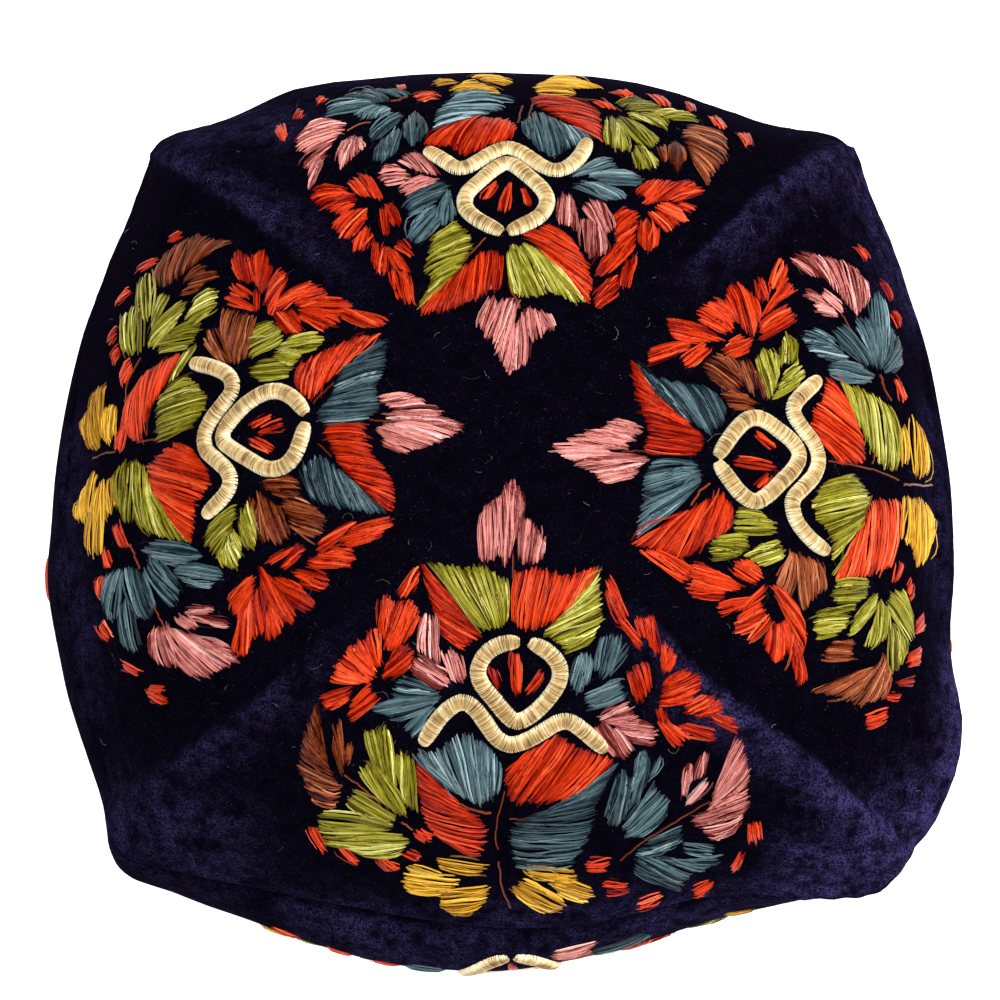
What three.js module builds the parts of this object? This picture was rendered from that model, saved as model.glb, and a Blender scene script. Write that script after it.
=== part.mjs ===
// A velvet tubeteika, the embroidered skullcap: a soft domed crown, a rounded square in plan with a fold
// running to each corner, sewn to an upright band, with wrapped silk cords couched on both.
import * as THREE from "three";

// Driving dimensions, in millimetres and degrees
const BAND_HEIGHT = 39.5;
const CROWN_RISE = 48;
const WALL = 2.5;
const SEAM_GAP = 0.3;
const SEAM_TUCK = 1.2;
const SEAM_ROLL = 1.8;
const CROWN_TOP = { x: 1.59, y: 2.53 };
const FOLD_WIDTH = 8;
const CORD_WIDTH = 2.8;
const CORD_HEIGHT = 2;
const CORD_SEAT = 0.3;

// The dome's profile is part of a superellipse, which the seam cuts at a share of its full radius.
const DOME_EXPONENT = 2.2;
const DOME_CUT = 0.953;

// The folds start a little way out from the top of the crown and fade again towards the hem.
const FOLD_START = 0.2;
const FOLD_FULL = 0.7;
const FOLD_LOSS_AT_HEM = 0.6;

// The band swells out from the seam to its widest at this share of its height, and draws in again to the hem.
const SWELL_DEPTH = 0.36;
const HEM_TUCK = 4.5;

// The plan, seen from the top of the crown: a row for the middle of each side and for each corner. The front
// right corner is worn broad, so it has rows for the turn on either side of it and for the bulge beside it.
// seam and widest are radii, and fold is how far the corner's fold stands out beyond them.
const OUTLINE = [
  { place: "right", bearing: 0, seam: 78.5, widest: 84.3, fold: 0 },
  { place: "back_right", bearing: 47, seam: 88, widest: 88.2, fold: 6 },
  { place: "back", bearing: 90, seam: 82, widest: 84.5, fold: 0 },
  { place: "back_left", bearing: 135, seam: 90.5, widest: 89.5, fold: 5.5 },
  { place: "left", bearing: 180, seam: 82.5, widest: 87.5, fold: 0 },
  { place: "front_left", bearing: 224.2, seam: 91, widest: 94.2, fold: 6.5 },
  { place: "front", bearing: 258, seam: 82, widest: 89.5, fold: 0 },
  { place: "front_turn", bearing: 291, seam: 83, widest: 86, fold: 0 },
  { place: "front_right", bearing: 313, seam: 95.5, widest: 92.5, fold: 5.5 },
  { place: "right_bulge", bearing: 328, seam: 97.5, widest: 97.5, fold: 0 },
  { place: "right_turn", bearing: 345, seam: 82, widest: 86, fold: 0 },
];
const MEAN_SEAM = OUTLINE.reduce((sum, row) => sum + row.seam, 0) / OUTLINE.length;

// Where the columns of points stand between the middle of a side, 0, and its corner, 1, and between two rows
// that are neither.
const COLUMNS = [0, 0.2, 0.39, 0.56, 0.7, 0.81, 0.89, 0.95];
const PLAIN_COLUMNS = [0, 0.34, 0.67];

// Where the rings of points stand between the top of the crown, 0, and the seam, 1.
const CROWN_RINGS = [0.12, 0.25, 0.38, 0.5, 0.61, 0.71, 0.79, 0.86, 0.915, 0.955, 0.98];
const INNER_RINGS = [0.96, 0.9, 0.82, 0.72, 0.6, 0.45, 0.25];

// Where the rings of points stand between the seam, 0, and the hem, 1.
const BAND_RINGS = [0.1, 0.2, 0.3, 0.42, 0.58, 0.78, 1];
const BAND_INNER_RINGS = [1, 0.66, 0.36, 0.16];

// The couched cords' routes on each field of the crown, in plan: side runs across the field,
// and out runs from the top of the crown towards the seam.
const FIELDS = [
  {
    field: "front",
    turn: 0,
    ring: [
      [1.4, 35.9], [-1.6, 36.3], [-4.2, 37.8], [-5.6, 40.4], [-5.0, 42.8], [-2.9, 45.3], [-0.7, 47.8],
      [1.1, 48.9], [3.6, 47.8], [6.4, 45.2], [8.3, 42.2], [8.2, 39.6], [6.2, 37.4], [3.2, 35.9],
    ],
    wing: [
      [-15.2, 52.4], [-12.4, 48.5], [-10.0, 46.4], [-8.0, 45.8], [-6.1, 46.9], [-4.3, 49.1], [-2.5, 51.4],
      [-0.2, 52.6], [2.6, 52.0], [5.5, 50.5], [7.9, 49.1], [10.0, 48.8], [12.4, 50.1], [16.4, 53.3],
    ],
  },
  {
    field: "right",
    turn: 90,
    ring: [
      [-4.1, 35.6], [-6.6, 37.5], [-9.2, 39.7], [-10.5, 42.2], [-9.1, 44.6], [-6.7, 46.9], [-4.0, 49.3],
      [-1.4, 50.4], [0.7, 49.4], [2.7, 46.7], [4.4, 43.6], [4.0, 41.1], [1.4, 38.6], [-3.2, 35.6],
    ],
    wing: [
      [-17.8, 55.5], [-16.2, 52.6], [-13.5, 50.0], [-11.0, 49.1], [-9.1, 49.3], [-6.9, 51.2], [-4.5, 53.1],
      [-1.6, 54.0], [1.2, 53.2], [3.9, 50.9], [6.1, 49.5], [8.0, 49.8], [10.3, 51.6], [13.4, 54.5],
    ],
  },
  {
    field: "back",
    turn: 180,
    ring: [
      [0.8, 37.4], [-2.2, 38.9], [-4.9, 40.8], [-6.1, 43.6], [-5.3, 46.2], [-3.0, 48.9], [-0.7, 51.2],
      [1.2, 52.1], [3.3, 50.8], [6.0, 48.0], [8.2, 45.2], [8.3, 42.3], [6.1, 39.8], [1.9, 37.3],
    ],
    wing: [
      [-13.5, 57.9], [-12.3, 54.6], [-10.2, 51.8], [-7.8, 50.6], [-5.7, 51.2], [-3.6, 52.9], [-1.4, 54.7],
      [0.9, 55.7], [3.4, 54.8], [6.2, 52.6], [8.3, 51.2], [10.2, 51.1], [12.1, 52.6], [15.6, 55.4],
    ],
  },
  {
    field: "left",
    turn: 270,
    ring: [
      [-4.2, 35.9], [-6.7, 37.7], [-8.5, 40.3], [-8.6, 43.1], [-7.2, 46.0], [-5.0, 48.5], [-2.6, 50.4],
      [-0.6, 50.5], [1.1, 48.8], [3.2, 45.9], [5.1, 42.8], [5.1, 39.8], [2.8, 37.5], [-2.5, 35.8],
    ],
    wing: [
      [-16.0, 56.9], [-14.6, 53.1], [-12.9, 50.3], [-11.0, 49.2], [-9.0, 49.5], [-6.9, 51.2], [-4.5, 53.1],
      [-2.0, 54.1], [0.7, 53.6], [2.9, 51.5], [4.9, 49.7], [7.0, 49.1], [9.3, 50.2], [12.4, 53.8],
    ],
  },
];

// The couched ring's route on each side of the band: along runs with the hem, and height is above it.
// On the front side it lies higher, across the swell, and on the other sides below it.
const HIGH_RING = [
  [-0.2, 32.6], [-2.6, 31.6], [-5.0, 29.4], [-7.0, 26.4], [-8.0, 23.0], [-7.4, 19.6], [-4.4, 16.6], [0.5, 14.4],
  [5.0, 16.6], [7.8, 19.6], [8.4, 23.0], [7.6, 26.4], [6.0, 29.4], [3.6, 31.6], [1.2, 32.6],
];
const LOW_RING = [
  [-0.7, 18.4], [-3.9, 17.9], [-6.7, 16.0], [-7.8, 13.6], [-6.9, 11.2], [-3.9, 8.4], [0, 6.6],
  [3.9, 8.4], [6.9, 11.2], [7.8, 13.6], [6.7, 16.0], [3.9, 17.9], [0.7, 18.4],
];

const CORD_STEPS = 18;
const CORD_SIDES = 8;

const velvet = new THREE.MeshStandardMaterial({ color: "#1c1430", roughness: 0.95, metalness: 0 });
const silkCord = new THREE.MeshStandardMaterial({ color: "#e1c891", roughness: 0.6, metalness: 0 });

// The seam's or the band's widest radius at a bearing, easing from row to row of the outline.
function outlineRadius(bearing, column) {
  const turn = THREE.MathUtils.euclideanModulo(bearing, 360);
  const index = OUTLINE.findLastIndex((row) => row.bearing <= turn);
  const from = OUTLINE[index];
  const to = OUTLINE[(index + 1) % OUTLINE.length];
  const span = THREE.MathUtils.euclideanModulo(to.bearing - from.bearing, 360);
  const ease = (1 - Math.cos((Math.PI * (turn - from.bearing)) / span)) / 2;
  return THREE.MathUtils.lerp(from[column], to[column], ease);
}

// How far the corner folds stand out at a bearing, on a ring of the given radius.
function foldReach(bearing, radius) {
  let reach = 0;
  for (const row of OUTLINE) {
    const away = THREE.MathUtils.euclideanModulo(bearing - row.bearing + 180, 360) - 180;
    const distance = THREE.MathUtils.degToRad(away) * radius;
    reach += row.fold * Math.exp(-((distance / FOLD_WIDTH) ** 2));
  }
  return reach;
}

function polar(bearing, radius, height) {
  const angle = THREE.MathUtils.degToRad(bearing);
  const x = CROWN_TOP.x + radius * Math.cos(angle);
  const y = CROWN_TOP.y + radius * Math.sin(angle);
  return new THREE.Vector3(x, y, height);
}

function domeDepth(share) {
  return 1 - (1 - share ** DOME_EXPONENT) ** (1 / DOME_EXPONENT);
}

// The crown's radius at a share of the way from its top to the seam: round at first, squarer further out.
function crownRadius(bearing, share) {
  const squareness = (outlineRadius(bearing, "seam") - MEAN_SEAM) * share;
  const growth = THREE.MathUtils.smoothstep(share, FOLD_START, FOLD_FULL);
  return share * (MEAN_SEAM + squareness + growth * foldReach(bearing, share * MEAN_SEAM));
}

function crownPoint(bearing, share) {
  const drop = (CROWN_RISE * domeDepth(share * DOME_CUT)) / domeDepth(DOME_CUT);
  return polar(bearing, crownRadius(bearing, share), BAND_HEIGHT + SEAM_GAP + CROWN_RISE - drop);
}

// The band's radius at a depth of 0 at the seam and 1 at the hem.
function bandRadius(bearing, depth) {
  const swell = Math.sin((Math.min(depth / SWELL_DEPTH, 1) * Math.PI) / 2);
  const tuck = HEM_TUCK * THREE.MathUtils.smoothstep(depth, SWELL_DEPTH, 1);
  const plain = THREE.MathUtils.lerp(outlineRadius(bearing, "seam"), outlineRadius(bearing, "widest"), swell);
  return plain - tuck + (1 - FOLD_LOSS_AT_HEM * depth) * foldReach(bearing, MEAN_SEAM);
}

function bandPoint(bearing, depth) {
  return polar(bearing, bandRadius(bearing, depth), BAND_HEIGHT * (1 - depth));
}

// The outward direction of a surface that is given as a function of bearing and of the way down it.
function outward(surface, bearing, down) {
  const aside = 0.5;
  const below = 0.004;
  const round = surface(bearing + aside, down).sub(surface(bearing - aside, down));
  const fall = surface(bearing, down + below).sub(surface(bearing, down - below));
  return fall.cross(round).normalize();
}

// Skins rings of points into a closed mesh. The rings close at a point at each end, or else on each other.
function skin(rings, ends) {
  const points = rings.flat();
  const count = rings[0].length;
  const triangles = [];
  const joins = ends ? rings.length - 1 : rings.length;
  for (let ring = 0; ring < joins; ring += 1) {
    const upper = ring * count;
    const lower = ((ring + 1) % rings.length) * count;
    for (let column = 0; column < count; column += 1) {
      const next = (column + 1) % count;
      triangles.push(upper + column, lower + column, lower + next);
      triangles.push(upper + column, lower + next, upper + next);
    }
  }
  if (ends) {
    const last = (rings.length - 1) * count;
    points.push(ends[0], ends[1]);
    for (let column = 0; column < count; column += 1) {
      const next = (column + 1) % count;
      triangles.push(points.length - 2, column, next);
      triangles.push(points.length - 1, last + next, last + column);
    }
  }
  const geometry = new THREE.BufferGeometry().setFromPoints(points);
  geometry.setIndex(triangles);
  geometry.computeVertexNormals();
  return geometry;
}

// The bearings of the columns all round the cap, close together at the corner folds.
const bearings = OUTLINE.flatMap((from, index) => {
  const to = OUTLINE[(index + 1) % OUTLINE.length];
  const span = THREE.MathUtils.euclideanModulo(to.bearing - from.bearing, 360);
  let shares = PLAIN_COLUMNS;
  if (to.fold > 0) shares = COLUMNS;
  if (from.fold > 0) shares = [0, ...COLUMNS.slice(1).reverse().map((share) => 1 - share)];
  return shares.map((share) => from.bearing + share * span);
});

const ringOf = (point) => bearings.map(point);

// Crown: one velvet shell, its lower edge rolled in to the seam.
function crownGeometry() {
  const rim = BAND_HEIGHT + SEAM_GAP;
  const edge = (bearing) => crownRadius(bearing, 1) - SEAM_TUCK;
  const roll = (bearing) => crownPoint(bearing, 1).setZ(rim + SEAM_ROLL);
  const inside = (bearing, share) => {
    const skinPoint = crownPoint(bearing, share);
    return skinPoint.addScaledVector(outward(crownPoint, bearing, share), -WALL);
  };
  const rings = [
    ...CROWN_RINGS.map((share) => ringOf((bearing) => crownPoint(bearing, share))),
    ringOf(roll),
    ringOf((bearing) => polar(bearing, edge(bearing), rim)),
    ringOf((bearing) => polar(bearing, edge(bearing) - WALL, rim)),
    ...INNER_RINGS.map((share) => ringOf((bearing) => inside(bearing, share))),
  ];
  const top = polar(0, 0, rim + CROWN_RISE);
  return skin(rings, [top, top.clone().setZ(top.z - WALL)]);
}

// Band: one velvet wall from the seam down to the plain hem that the cap stands on.
function bandGeometry() {
  const edge = (bearing) => bandRadius(bearing, 0) - SEAM_TUCK;
  const inner = (bearing, depth) => {
    const height = BAND_HEIGHT * (1 - depth);
    return polar(bearing, bandRadius(bearing, depth) - WALL, height);
  };
  const rings = [
    ringOf((bearing) => polar(bearing, edge(bearing), BAND_HEIGHT)),
    ringOf((bearing) => polar(bearing, bandRadius(bearing, 0), BAND_HEIGHT - SEAM_ROLL)),
    ...BAND_RINGS.map((depth) => ringOf((bearing) => bandPoint(bearing, depth))),
    ...BAND_INNER_RINGS.map((depth) => ringOf((bearing) => inner(bearing, depth))),
    ringOf((bearing) => polar(bearing, edge(bearing) - WALL, BAND_HEIGHT)),
  ];
  return skin(rings, null);
}

// The place on the crown below a point of a field's plan.
function crownSeat(turn, side, out) {
  const angle = THREE.MathUtils.degToRad(turn);
  const x = side * Math.cos(angle) + out * Math.sin(angle);
  const y = side * Math.sin(angle) - out * Math.cos(angle);
  const bearing = THREE.MathUtils.radToDeg(Math.atan2(y, x));
  const halvings = 24;
  let near = 0;
  let far = 1;
  for (let count = 0; count < halvings; count += 1) {
    const middle = (near + far) / 2;
    if (crownRadius(bearing, middle) < Math.hypot(x, y)) near = middle;
    else far = middle;
  }
  return { point: crownPoint(bearing, near), normal: outward(crownPoint, bearing, near) };
}

// The place on a side of the band at a distance along it and a height above the hem.
function bandSeat(turn, along, height) {
  const depth = 1 - height / BAND_HEIGHT;
  const middle = turn - 90;
  const bearing = middle + THREE.MathUtils.radToDeg(along / bandRadius(middle, depth));
  return { point: bandPoint(bearing, depth), normal: outward(bandPoint, bearing, depth) };
}

// A wrapped cord laid on a surface: an oval section that follows its route just above the velvet.
function cordGeometry(route, seatAt) {
  const curve = new THREE.SplineCurve(route.map(([across, down]) => new THREE.Vector2(across, down)));
  const seats = curve.getSpacedPoints(CORD_STEPS).map((place) => seatAt(place.x, place.y));
  const middles = seats.map((seat) =>
    seat.point.clone().addScaledVector(seat.normal, CORD_SEAT + CORD_HEIGHT / 2));
  const rings = middles.map((middle, index) => {
    const before = middles[Math.max(index - 1, 0)];
    const after = middles[Math.min(index + 1, CORD_STEPS)];
    const along = after.clone().sub(before).normalize();
    const across = along.clone().cross(seats[index].normal).normalize();
    const up = across.clone().cross(along);
    return Array.from({ length: CORD_SIDES }, (unused, corner) => {
      const angle = ((corner + 0.5) / CORD_SIDES) * 2 * Math.PI;
      return middle.clone()
        .addScaledVector(across, (Math.cos(angle) * CORD_WIDTH) / 2)
        .addScaledVector(up, (Math.sin(angle) * CORD_HEIGHT) / 2);
    });
  });
  return skin(rings, [middles[0], middles[CORD_STEPS]]);
}

function named(name, geometry, material) {
  const mesh = new THREE.Mesh(geometry, material);
  mesh.name = name;
  return mesh;
}

const cap = new THREE.Group();
cap.add(named("crown", crownGeometry(), velvet));
cap.add(named("band", bandGeometry(), velvet));
for (const { field, turn, ring, wing } of FIELDS) {
  const onCrown = (side, out) => crownSeat(turn, side, out);
  const onBand = (along, height) => bandSeat(turn, along, height);
  cap.add(named(`ring_cord_${field}`, cordGeometry(ring, onCrown), silkCord));
  cap.add(named(`wing_cord_${field}`, cordGeometry(wing, onCrown), silkCord));
  const bandRing = field === "front" ? HIGH_RING : LOW_RING;
  cap.add(named(`band_ring_cord_${field}`, cordGeometry(bandRing, onBand), silkCord));
}

export default cap;
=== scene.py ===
import math
import random

import bmesh
import bpy
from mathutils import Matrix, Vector, noise
from mathutils.bvhtree import BVHTree


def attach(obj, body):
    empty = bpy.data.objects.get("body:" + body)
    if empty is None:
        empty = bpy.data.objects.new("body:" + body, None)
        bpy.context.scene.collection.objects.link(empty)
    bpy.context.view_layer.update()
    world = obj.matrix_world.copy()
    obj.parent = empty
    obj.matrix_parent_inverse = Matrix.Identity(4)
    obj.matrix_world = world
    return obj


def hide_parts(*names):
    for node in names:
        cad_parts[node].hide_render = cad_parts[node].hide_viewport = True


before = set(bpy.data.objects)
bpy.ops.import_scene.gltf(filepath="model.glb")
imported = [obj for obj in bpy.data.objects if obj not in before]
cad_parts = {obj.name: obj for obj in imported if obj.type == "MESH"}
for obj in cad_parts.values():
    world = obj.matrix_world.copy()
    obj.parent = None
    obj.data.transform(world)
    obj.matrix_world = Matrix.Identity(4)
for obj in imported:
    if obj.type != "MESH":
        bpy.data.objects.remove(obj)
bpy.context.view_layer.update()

# Crown. One piece of dark indigo cotton velvet, steamed over a block into a low dome that squares off
# towards its edge. Four soft folds run out to the corners, where the pile is rubbed pale and painted with
# sheen.
MM = 0.001
CAP_AXIS = Vector((1.59 * MM, 2.53 * MM, 0.0))
CAP_MIDDLE_HEIGHT = 30 * MM
CROWN_RIPPLES = ((17 * MM, 0.40 * MM), (6 * MM, 0.14 * MM))

# The seam between crown and band: where its edges meet, how far they are drawn together and in, and the
# small puckers along it, which are tighter near one bearing.
SEAM_HEIGHT = 39.6 * MM
SEAM_LIP = 0.3 * MM
SEAM_EDGE = 2.4 * MM
SEAM_CLOSING = 0.4 * MM
SEAM_DRAW = 0.7 * MM
SEAM_REACH = 1.6 * MM
PUCKERS_ROUND = 150
PUCKER_UNEVEN = 2.5
PUCKER_PATCH = 14 * MM
PUCKER_DEPTH = 0.05
TIGHT_PUCKER_DEPTH = 0.10
TIGHT_PUCKER_BEARING = 306
TIGHT_PUCKER_REACH = 9
CROWN_PUCKER_FADE = (SEAM_HEIGHT + 2 * MM, SEAM_HEIGHT + 16 * MM)
CROWN_SLACK_FADE = (SEAM_HEIGHT + 4 * MM, SEAM_HEIGHT + 20 * MM)

# A fold rolls softly to one side and falls off steeply, into a groove, on the other.
FOLD_ROLL = 1.4 * MM
FOLD_START = 30 * MM
FOLD_SOFT_SIDE = 5.0 * MM
FOLD_STEEP_SIDE = 1.6 * MM
# How narrow the rubbed pile and painted sheen run on a fold's steep side.
FOLD_STEEP_RUB_AND_SHEEN = 0.8 * MM
FOLD_GROOVE = 3.2 * MM
FOLD_GROOVE_DEPTH = 0.5
FOLD_LOSS_AT_SEAM = 0.6

# The velvet's colours, in shadow, where the pile is rubbed and painted with sheen, and where it holds dust,
# and its woven back's.
VELVET_SHADOW = (0.0010, 0.0007, 0.0020, 1.0)
VELVET_RUBBED_AND_SHEEN = (0.038, 0.029, 0.104, 1.0)
VELVET_DUST = (0.075, 0.070, 0.105, 1.0)
VELVET_SHEEN = (0.40, 0.32, 0.72, 1.0)
WOVEN_DARK = (0.012, 0.009, 0.020, 1.0)
WOVEN_LIGHT = (0.040, 0.032, 0.060, 1.0)
WOVEN_GRAIN = 900.0
PILE_GRAIN = 2300.0
PILE_RANGE = (0.40, 0.64)
PILE_DEPTH = 0.25 * MM
BRUSHED_GRAIN = 330.0
BRUSHED_RANGE = (0.36, 0.62)
DUST_GRAIN = 3600.0
DUST_RANGE = (0.71, 0.80)
DUST_SHARE = 0.45
# How the pile's grain shows where it is rubbed and painted with sheen, and elsewhere.
RUBBED_AND_SHEEN_TUFTS = 1.9
RUBBED_AND_SHEEN_GROUND = 0.10
UNRUBBED_TUFTS = 0.05
# How evenly the rubbed pile and painted sheen spread, and the patches that break them up.
WEAR_AND_SHEEN_EVEN = 0.75
WEAR_AND_SHEEN_PATCHES = ((9 * MM, 0.55), (3.5 * MM, 0.35))

# The folds, from the middle of the crown outwards, in millimetres right of and behind the cap's axis:
# the line of each, the side of that line on which it falls off steeply (1 left, -1 right), and how pale
# it is rubbed and painted with sheen.
FOLDS = (
    ((-24, 20, -37, 34, -47, 43, -57, 53, -66, 61), 1, 0.46),
    ((24, 24, 38, 39, 47, 50, 62, 65), 1, 0.60),
    ((17, -25, 33, -42, 49, -52, 60, -60, 71, -67), 1, 0.95),
    ((-22, -28, -45, -46, -58, -54, -71, -60), -1, 0.28),
)
# Other patches where the pile is rubbed pale and painted with sheen: a line, how far the patch spreads,
# and how pale it is.
RUBBED_AND_SHEEN = (
    ((-60, 66, -50, 69, -42, 66), 6.5, 0.36),
    ((66, 60, 71, 50, 75, 38), 7.0, 0.50),
    ((84, -30, 82, -44, 80, -52), 4.5, 0.95),
    ((78, -58, 70, -65, 56, -72), 7.0, 1.10),
    ((-70, -62, -62, -65, -52, -69), 8.0, 0.30),
    ((-82, 10, -82, -11, -78, -30, -76, -41), 4.5, 0.24),
    ((-38, -79, -16, -83, 9, -81, 32, -79, 52, -74), 4.5, 0.38),
    ((-30, -86, 0, -90, 30, -86), 4.0, 0.40),
    ((79, 14, 80, -18, 81, -30), 3.5, 0.30),
    ((-40, 80, -10, 84, 30, 83), 4.0, 0.35),
)

# Where the soft cloth stands out or in at the seam, from the photo: the bearing from the right side,
# anticlockwise, and how far it spreads, in degrees, and how far it stands out, in millimetres.
SLACK = (
    (321, 4.5, 2.2), (232.5, 5, 1.3), (222.7, 4, 1.2), (189, 6, 1.0),
    (118, 8, 1.1), (60, 9, -1.1), (36, 7, 0.8),
)


def place(name, mesh):
    piece = bpy.data.objects.new(name, mesh)
    bpy.context.scene.collection.objects.link(piece)
    return piece


def settle(piece, slot_name, *nodes):
    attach(piece, "root")
    if nodes:
        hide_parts(*nodes)


def soft_copy(node_name, piece_name):
    work = bmesh.new()
    work.from_mesh(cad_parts[node_name].data)
    bmesh.ops.remove_doubles(work, verts=work.verts, dist=0.01 * MM)
    bmesh.ops.join_triangles(work, faces=work.faces, angle_face_threshold=0.9, angle_shape_threshold=1.3)
    bmesh.ops.recalc_face_normals(work, faces=work.faces)
    mesh = bpy.data.meshes.new(piece_name)
    work.to_mesh(mesh)
    work.free()
    piece = place(piece_name, mesh)
    soften = piece.modifiers.new("soften", "SUBSURF")
    soften.levels = 2
    soften.render_levels = 2
    smooth = bpy.data.meshes.new_from_object(piece.evaluated_get(bpy.context.evaluated_depsgraph_get()))
    piece.modifiers.remove(soften)
    piece.data = smooth
    smooth.name = piece_name
    smooth.shade_smooth()
    return piece


def add_node(tree, kind, **settings):
    made = tree.nodes.new(kind)
    for name, value in settings.items():
        label = name.replace("_", " ")
        if label in made.inputs:
            made.inputs[label].default_value = value
        else:
            setattr(made, name, value)
    return made


def wire(tree, output, socket):
    tree.links.new(output, socket)


def sums(tree, operation, *terms):
    made = add_node(tree, "ShaderNodeMath", operation=operation)
    for socket, term in zip(made.inputs, terms):
        if isinstance(term, (int, float)):
            socket.default_value = term
        else:
            wire(tree, term, socket)
    return made.outputs[0]


def blend(tree, share, first, second):
    made = add_node(tree, "ShaderNodeMix", data_type="RGBA")
    wire(tree, share, made.inputs[0])
    for socket, colour in zip(made.inputs[6:8], (first, second)):
        if isinstance(colour, tuple):
            socket.default_value = colour
        else:
            wire(tree, colour, socket)
    return made.outputs[2]


def grain(tree, scale, detail=2.0, roughness=0.6):
    coords = add_node(tree, "ShaderNodeTexCoord").outputs["Object"]
    texture = add_node(tree, "ShaderNodeTexNoise", Scale=scale, Detail=detail, Roughness=roughness)
    wire(tree, coords, texture.inputs["Vector"])
    return texture.outputs["Fac"]


def spread(tree, value, low, high):
    made = add_node(tree, "ShaderNodeMapRange", From_Min=low, From_Max=high)
    wire(tree, value, made.inputs["Value"])
    return made.outputs["Result"]


def attribute(tree, name):
    return add_node(tree, "ShaderNodeAttribute", attribute_name=name).outputs["Fac"]


def new_finish(name):
    finish = bpy.data.materials.new(name)
    finish.use_nodes = True
    return finish, finish.node_tree, finish.node_tree.nodes["Principled BSDF"]


def set_surface(surface, **values):
    for name, value in values.items():
        surface.inputs[name.replace("_", " ")].default_value = value


def raise_grain(tree, surface, height, strength, depth):
    bump = add_node(tree, "ShaderNodeBump", Strength=strength, Distance=depth)
    wire(tree, height, bump.inputs["Height"])
    wire(tree, bump.outputs["Normal"], surface.inputs["Normal"])


def velvet_finish():
    finish, tree, surface = new_finish("indigo_velvet")
    pile = grain(tree, PILE_GRAIN, detail=2.0, roughness=0.7)
    brushed = grain(tree, BRUSHED_GRAIN, detail=3.0, roughness=0.65)
    dust = grain(tree, DUST_GRAIN, detail=1.0)
    tufts = sums(tree, "MULTIPLY", spread(tree, pile, *PILE_RANGE), spread(tree, brushed, *BRUSHED_RANGE))
    lifted = sums(tree, "MULTIPLY_ADD", tufts, RUBBED_AND_SHEEN_TUFTS, RUBBED_AND_SHEEN_GROUND)
    # The mask of rubbed pile and painted sheen lifts the grain towards the pale pile colour.
    pale = sums(tree, "MULTIPLY", attribute(tree, "rub_and_sheen"), lifted)
    even = sums(tree, "MULTIPLY", tufts, UNRUBBED_TUFTS)
    cloth = blend(tree, sums(tree, "ADD", pale, even), VELVET_SHADOW, VELVET_RUBBED_AND_SHEEN)
    specks = sums(tree, "MULTIPLY", spread(tree, dust, *DUST_RANGE), DUST_SHARE)
    wire(tree, blend(tree, specks, cloth, VELVET_DUST), surface.inputs["Base Color"])
    raise_grain(tree, surface, pile, strength=0.6, depth=PILE_DEPTH)
    set_surface(surface, Roughness=0.9, Specular_IOR_Level=0.0, Sheen_Weight=0.012, Sheen_Roughness=0.35,
                Sheen_Tint=VELVET_SHEEN)
    return finish


def woven_back_finish():
    finish, tree, surface = new_finish("velvet_woven_back")
    weave = grain(tree, WOVEN_GRAIN)
    wire(tree, blend(tree, weave, WOVEN_DARK, WOVEN_LIGHT), surface.inputs["Base Color"])
    raise_grain(tree, surface, weave, strength=0.4, depth=0.2 * MM)
    set_surface(surface, Roughness=0.95, Specular_IOR_Level=0.15)
    return finish


def paired(numbers):
    return [Vector((numbers[i] * MM, numbers[i + 1] * MM)) for i in range(0, len(numbers), 2)]


def from_axis(point):
    return Vector((point.x - CAP_AXIS.x, point.y - CAP_AXIS.y))


def off_line(spot, line):
    nearest = None
    run_so_far = 0.0
    for a, b in zip(line, line[1:]):
        run = b - a
        share = min(max((spot - a).dot(run) / run.length_squared, 0.0), 1.0)
        away = spot - a - run * share
        left = 1 if run.cross(away) > 0 else -1
        if nearest is None or away.length < nearest[0]:
            nearest = (away.length, left, run_so_far + run.length * share)
        run_so_far += run.length
    return nearest


def ease(low, high, value):
    share = min(max((value - low) / (high - low), 0.0), 1.0)
    return share * share * (3 - 2 * share)


def bell(away, reach):
    return math.exp(-(away / reach) ** 2)


# Each fold's roll, and how pale its ridge is rubbed and painted with sheen.
def fold_at(flat):
    roll = 0.0
    pale = 0.0
    for line, steep_side, rubbed_and_sheen in fold_lines:
        gap, left, run = off_line(flat, line)
        out = ease(0.0, FOLD_START, run)
        if left == steep_side:
            groove = FOLD_GROOVE_DEPTH * bell(gap - FOLD_GROOVE, FOLD_STEEP_SIDE)
            roll += out * (bell(gap, FOLD_STEEP_SIDE) - groove)
            pale = max(pale, rubbed_and_sheen * out * bell(gap, FOLD_STEEP_RUB_AND_SHEEN))
        else:
            roll += out * bell(gap, FOLD_SOFT_SIDE)
            pale = max(pale, rubbed_and_sheen * out * bell(gap, FOLD_SOFT_SIDE))
    return roll, pale


def rippled(point, ripples):
    return sum(noise.noise(point / size) * height for size, height in ripples)


# Rubbed pile and painted sheen along the folds and in the other pale patches, broken up into patches.
def rubbed_pile_and_sheen(point):
    flat = from_axis(point)
    patchy = WEAR_AND_SHEEN_EVEN + rippled(point, WEAR_AND_SHEEN_PATCHES)
    wear_and_sheen = fold_at(flat)[1]
    for line, reach, pale in rubbed_and_sheen_lines:
        wear_and_sheen = max(wear_and_sheen, pale * bell(off_line(flat, line)[0], reach))
    return max(wear_and_sheen * patchy, 0.0)


def faces_out(normal, flat, height):
    return normal.dot(Vector((flat.x, flat.y, height - CAP_MIDDLE_HEIGHT))) > 0


def drawn_in(point):
    return bell(point.z - SEAM_HEIGHT, SEAM_REACH)


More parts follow.
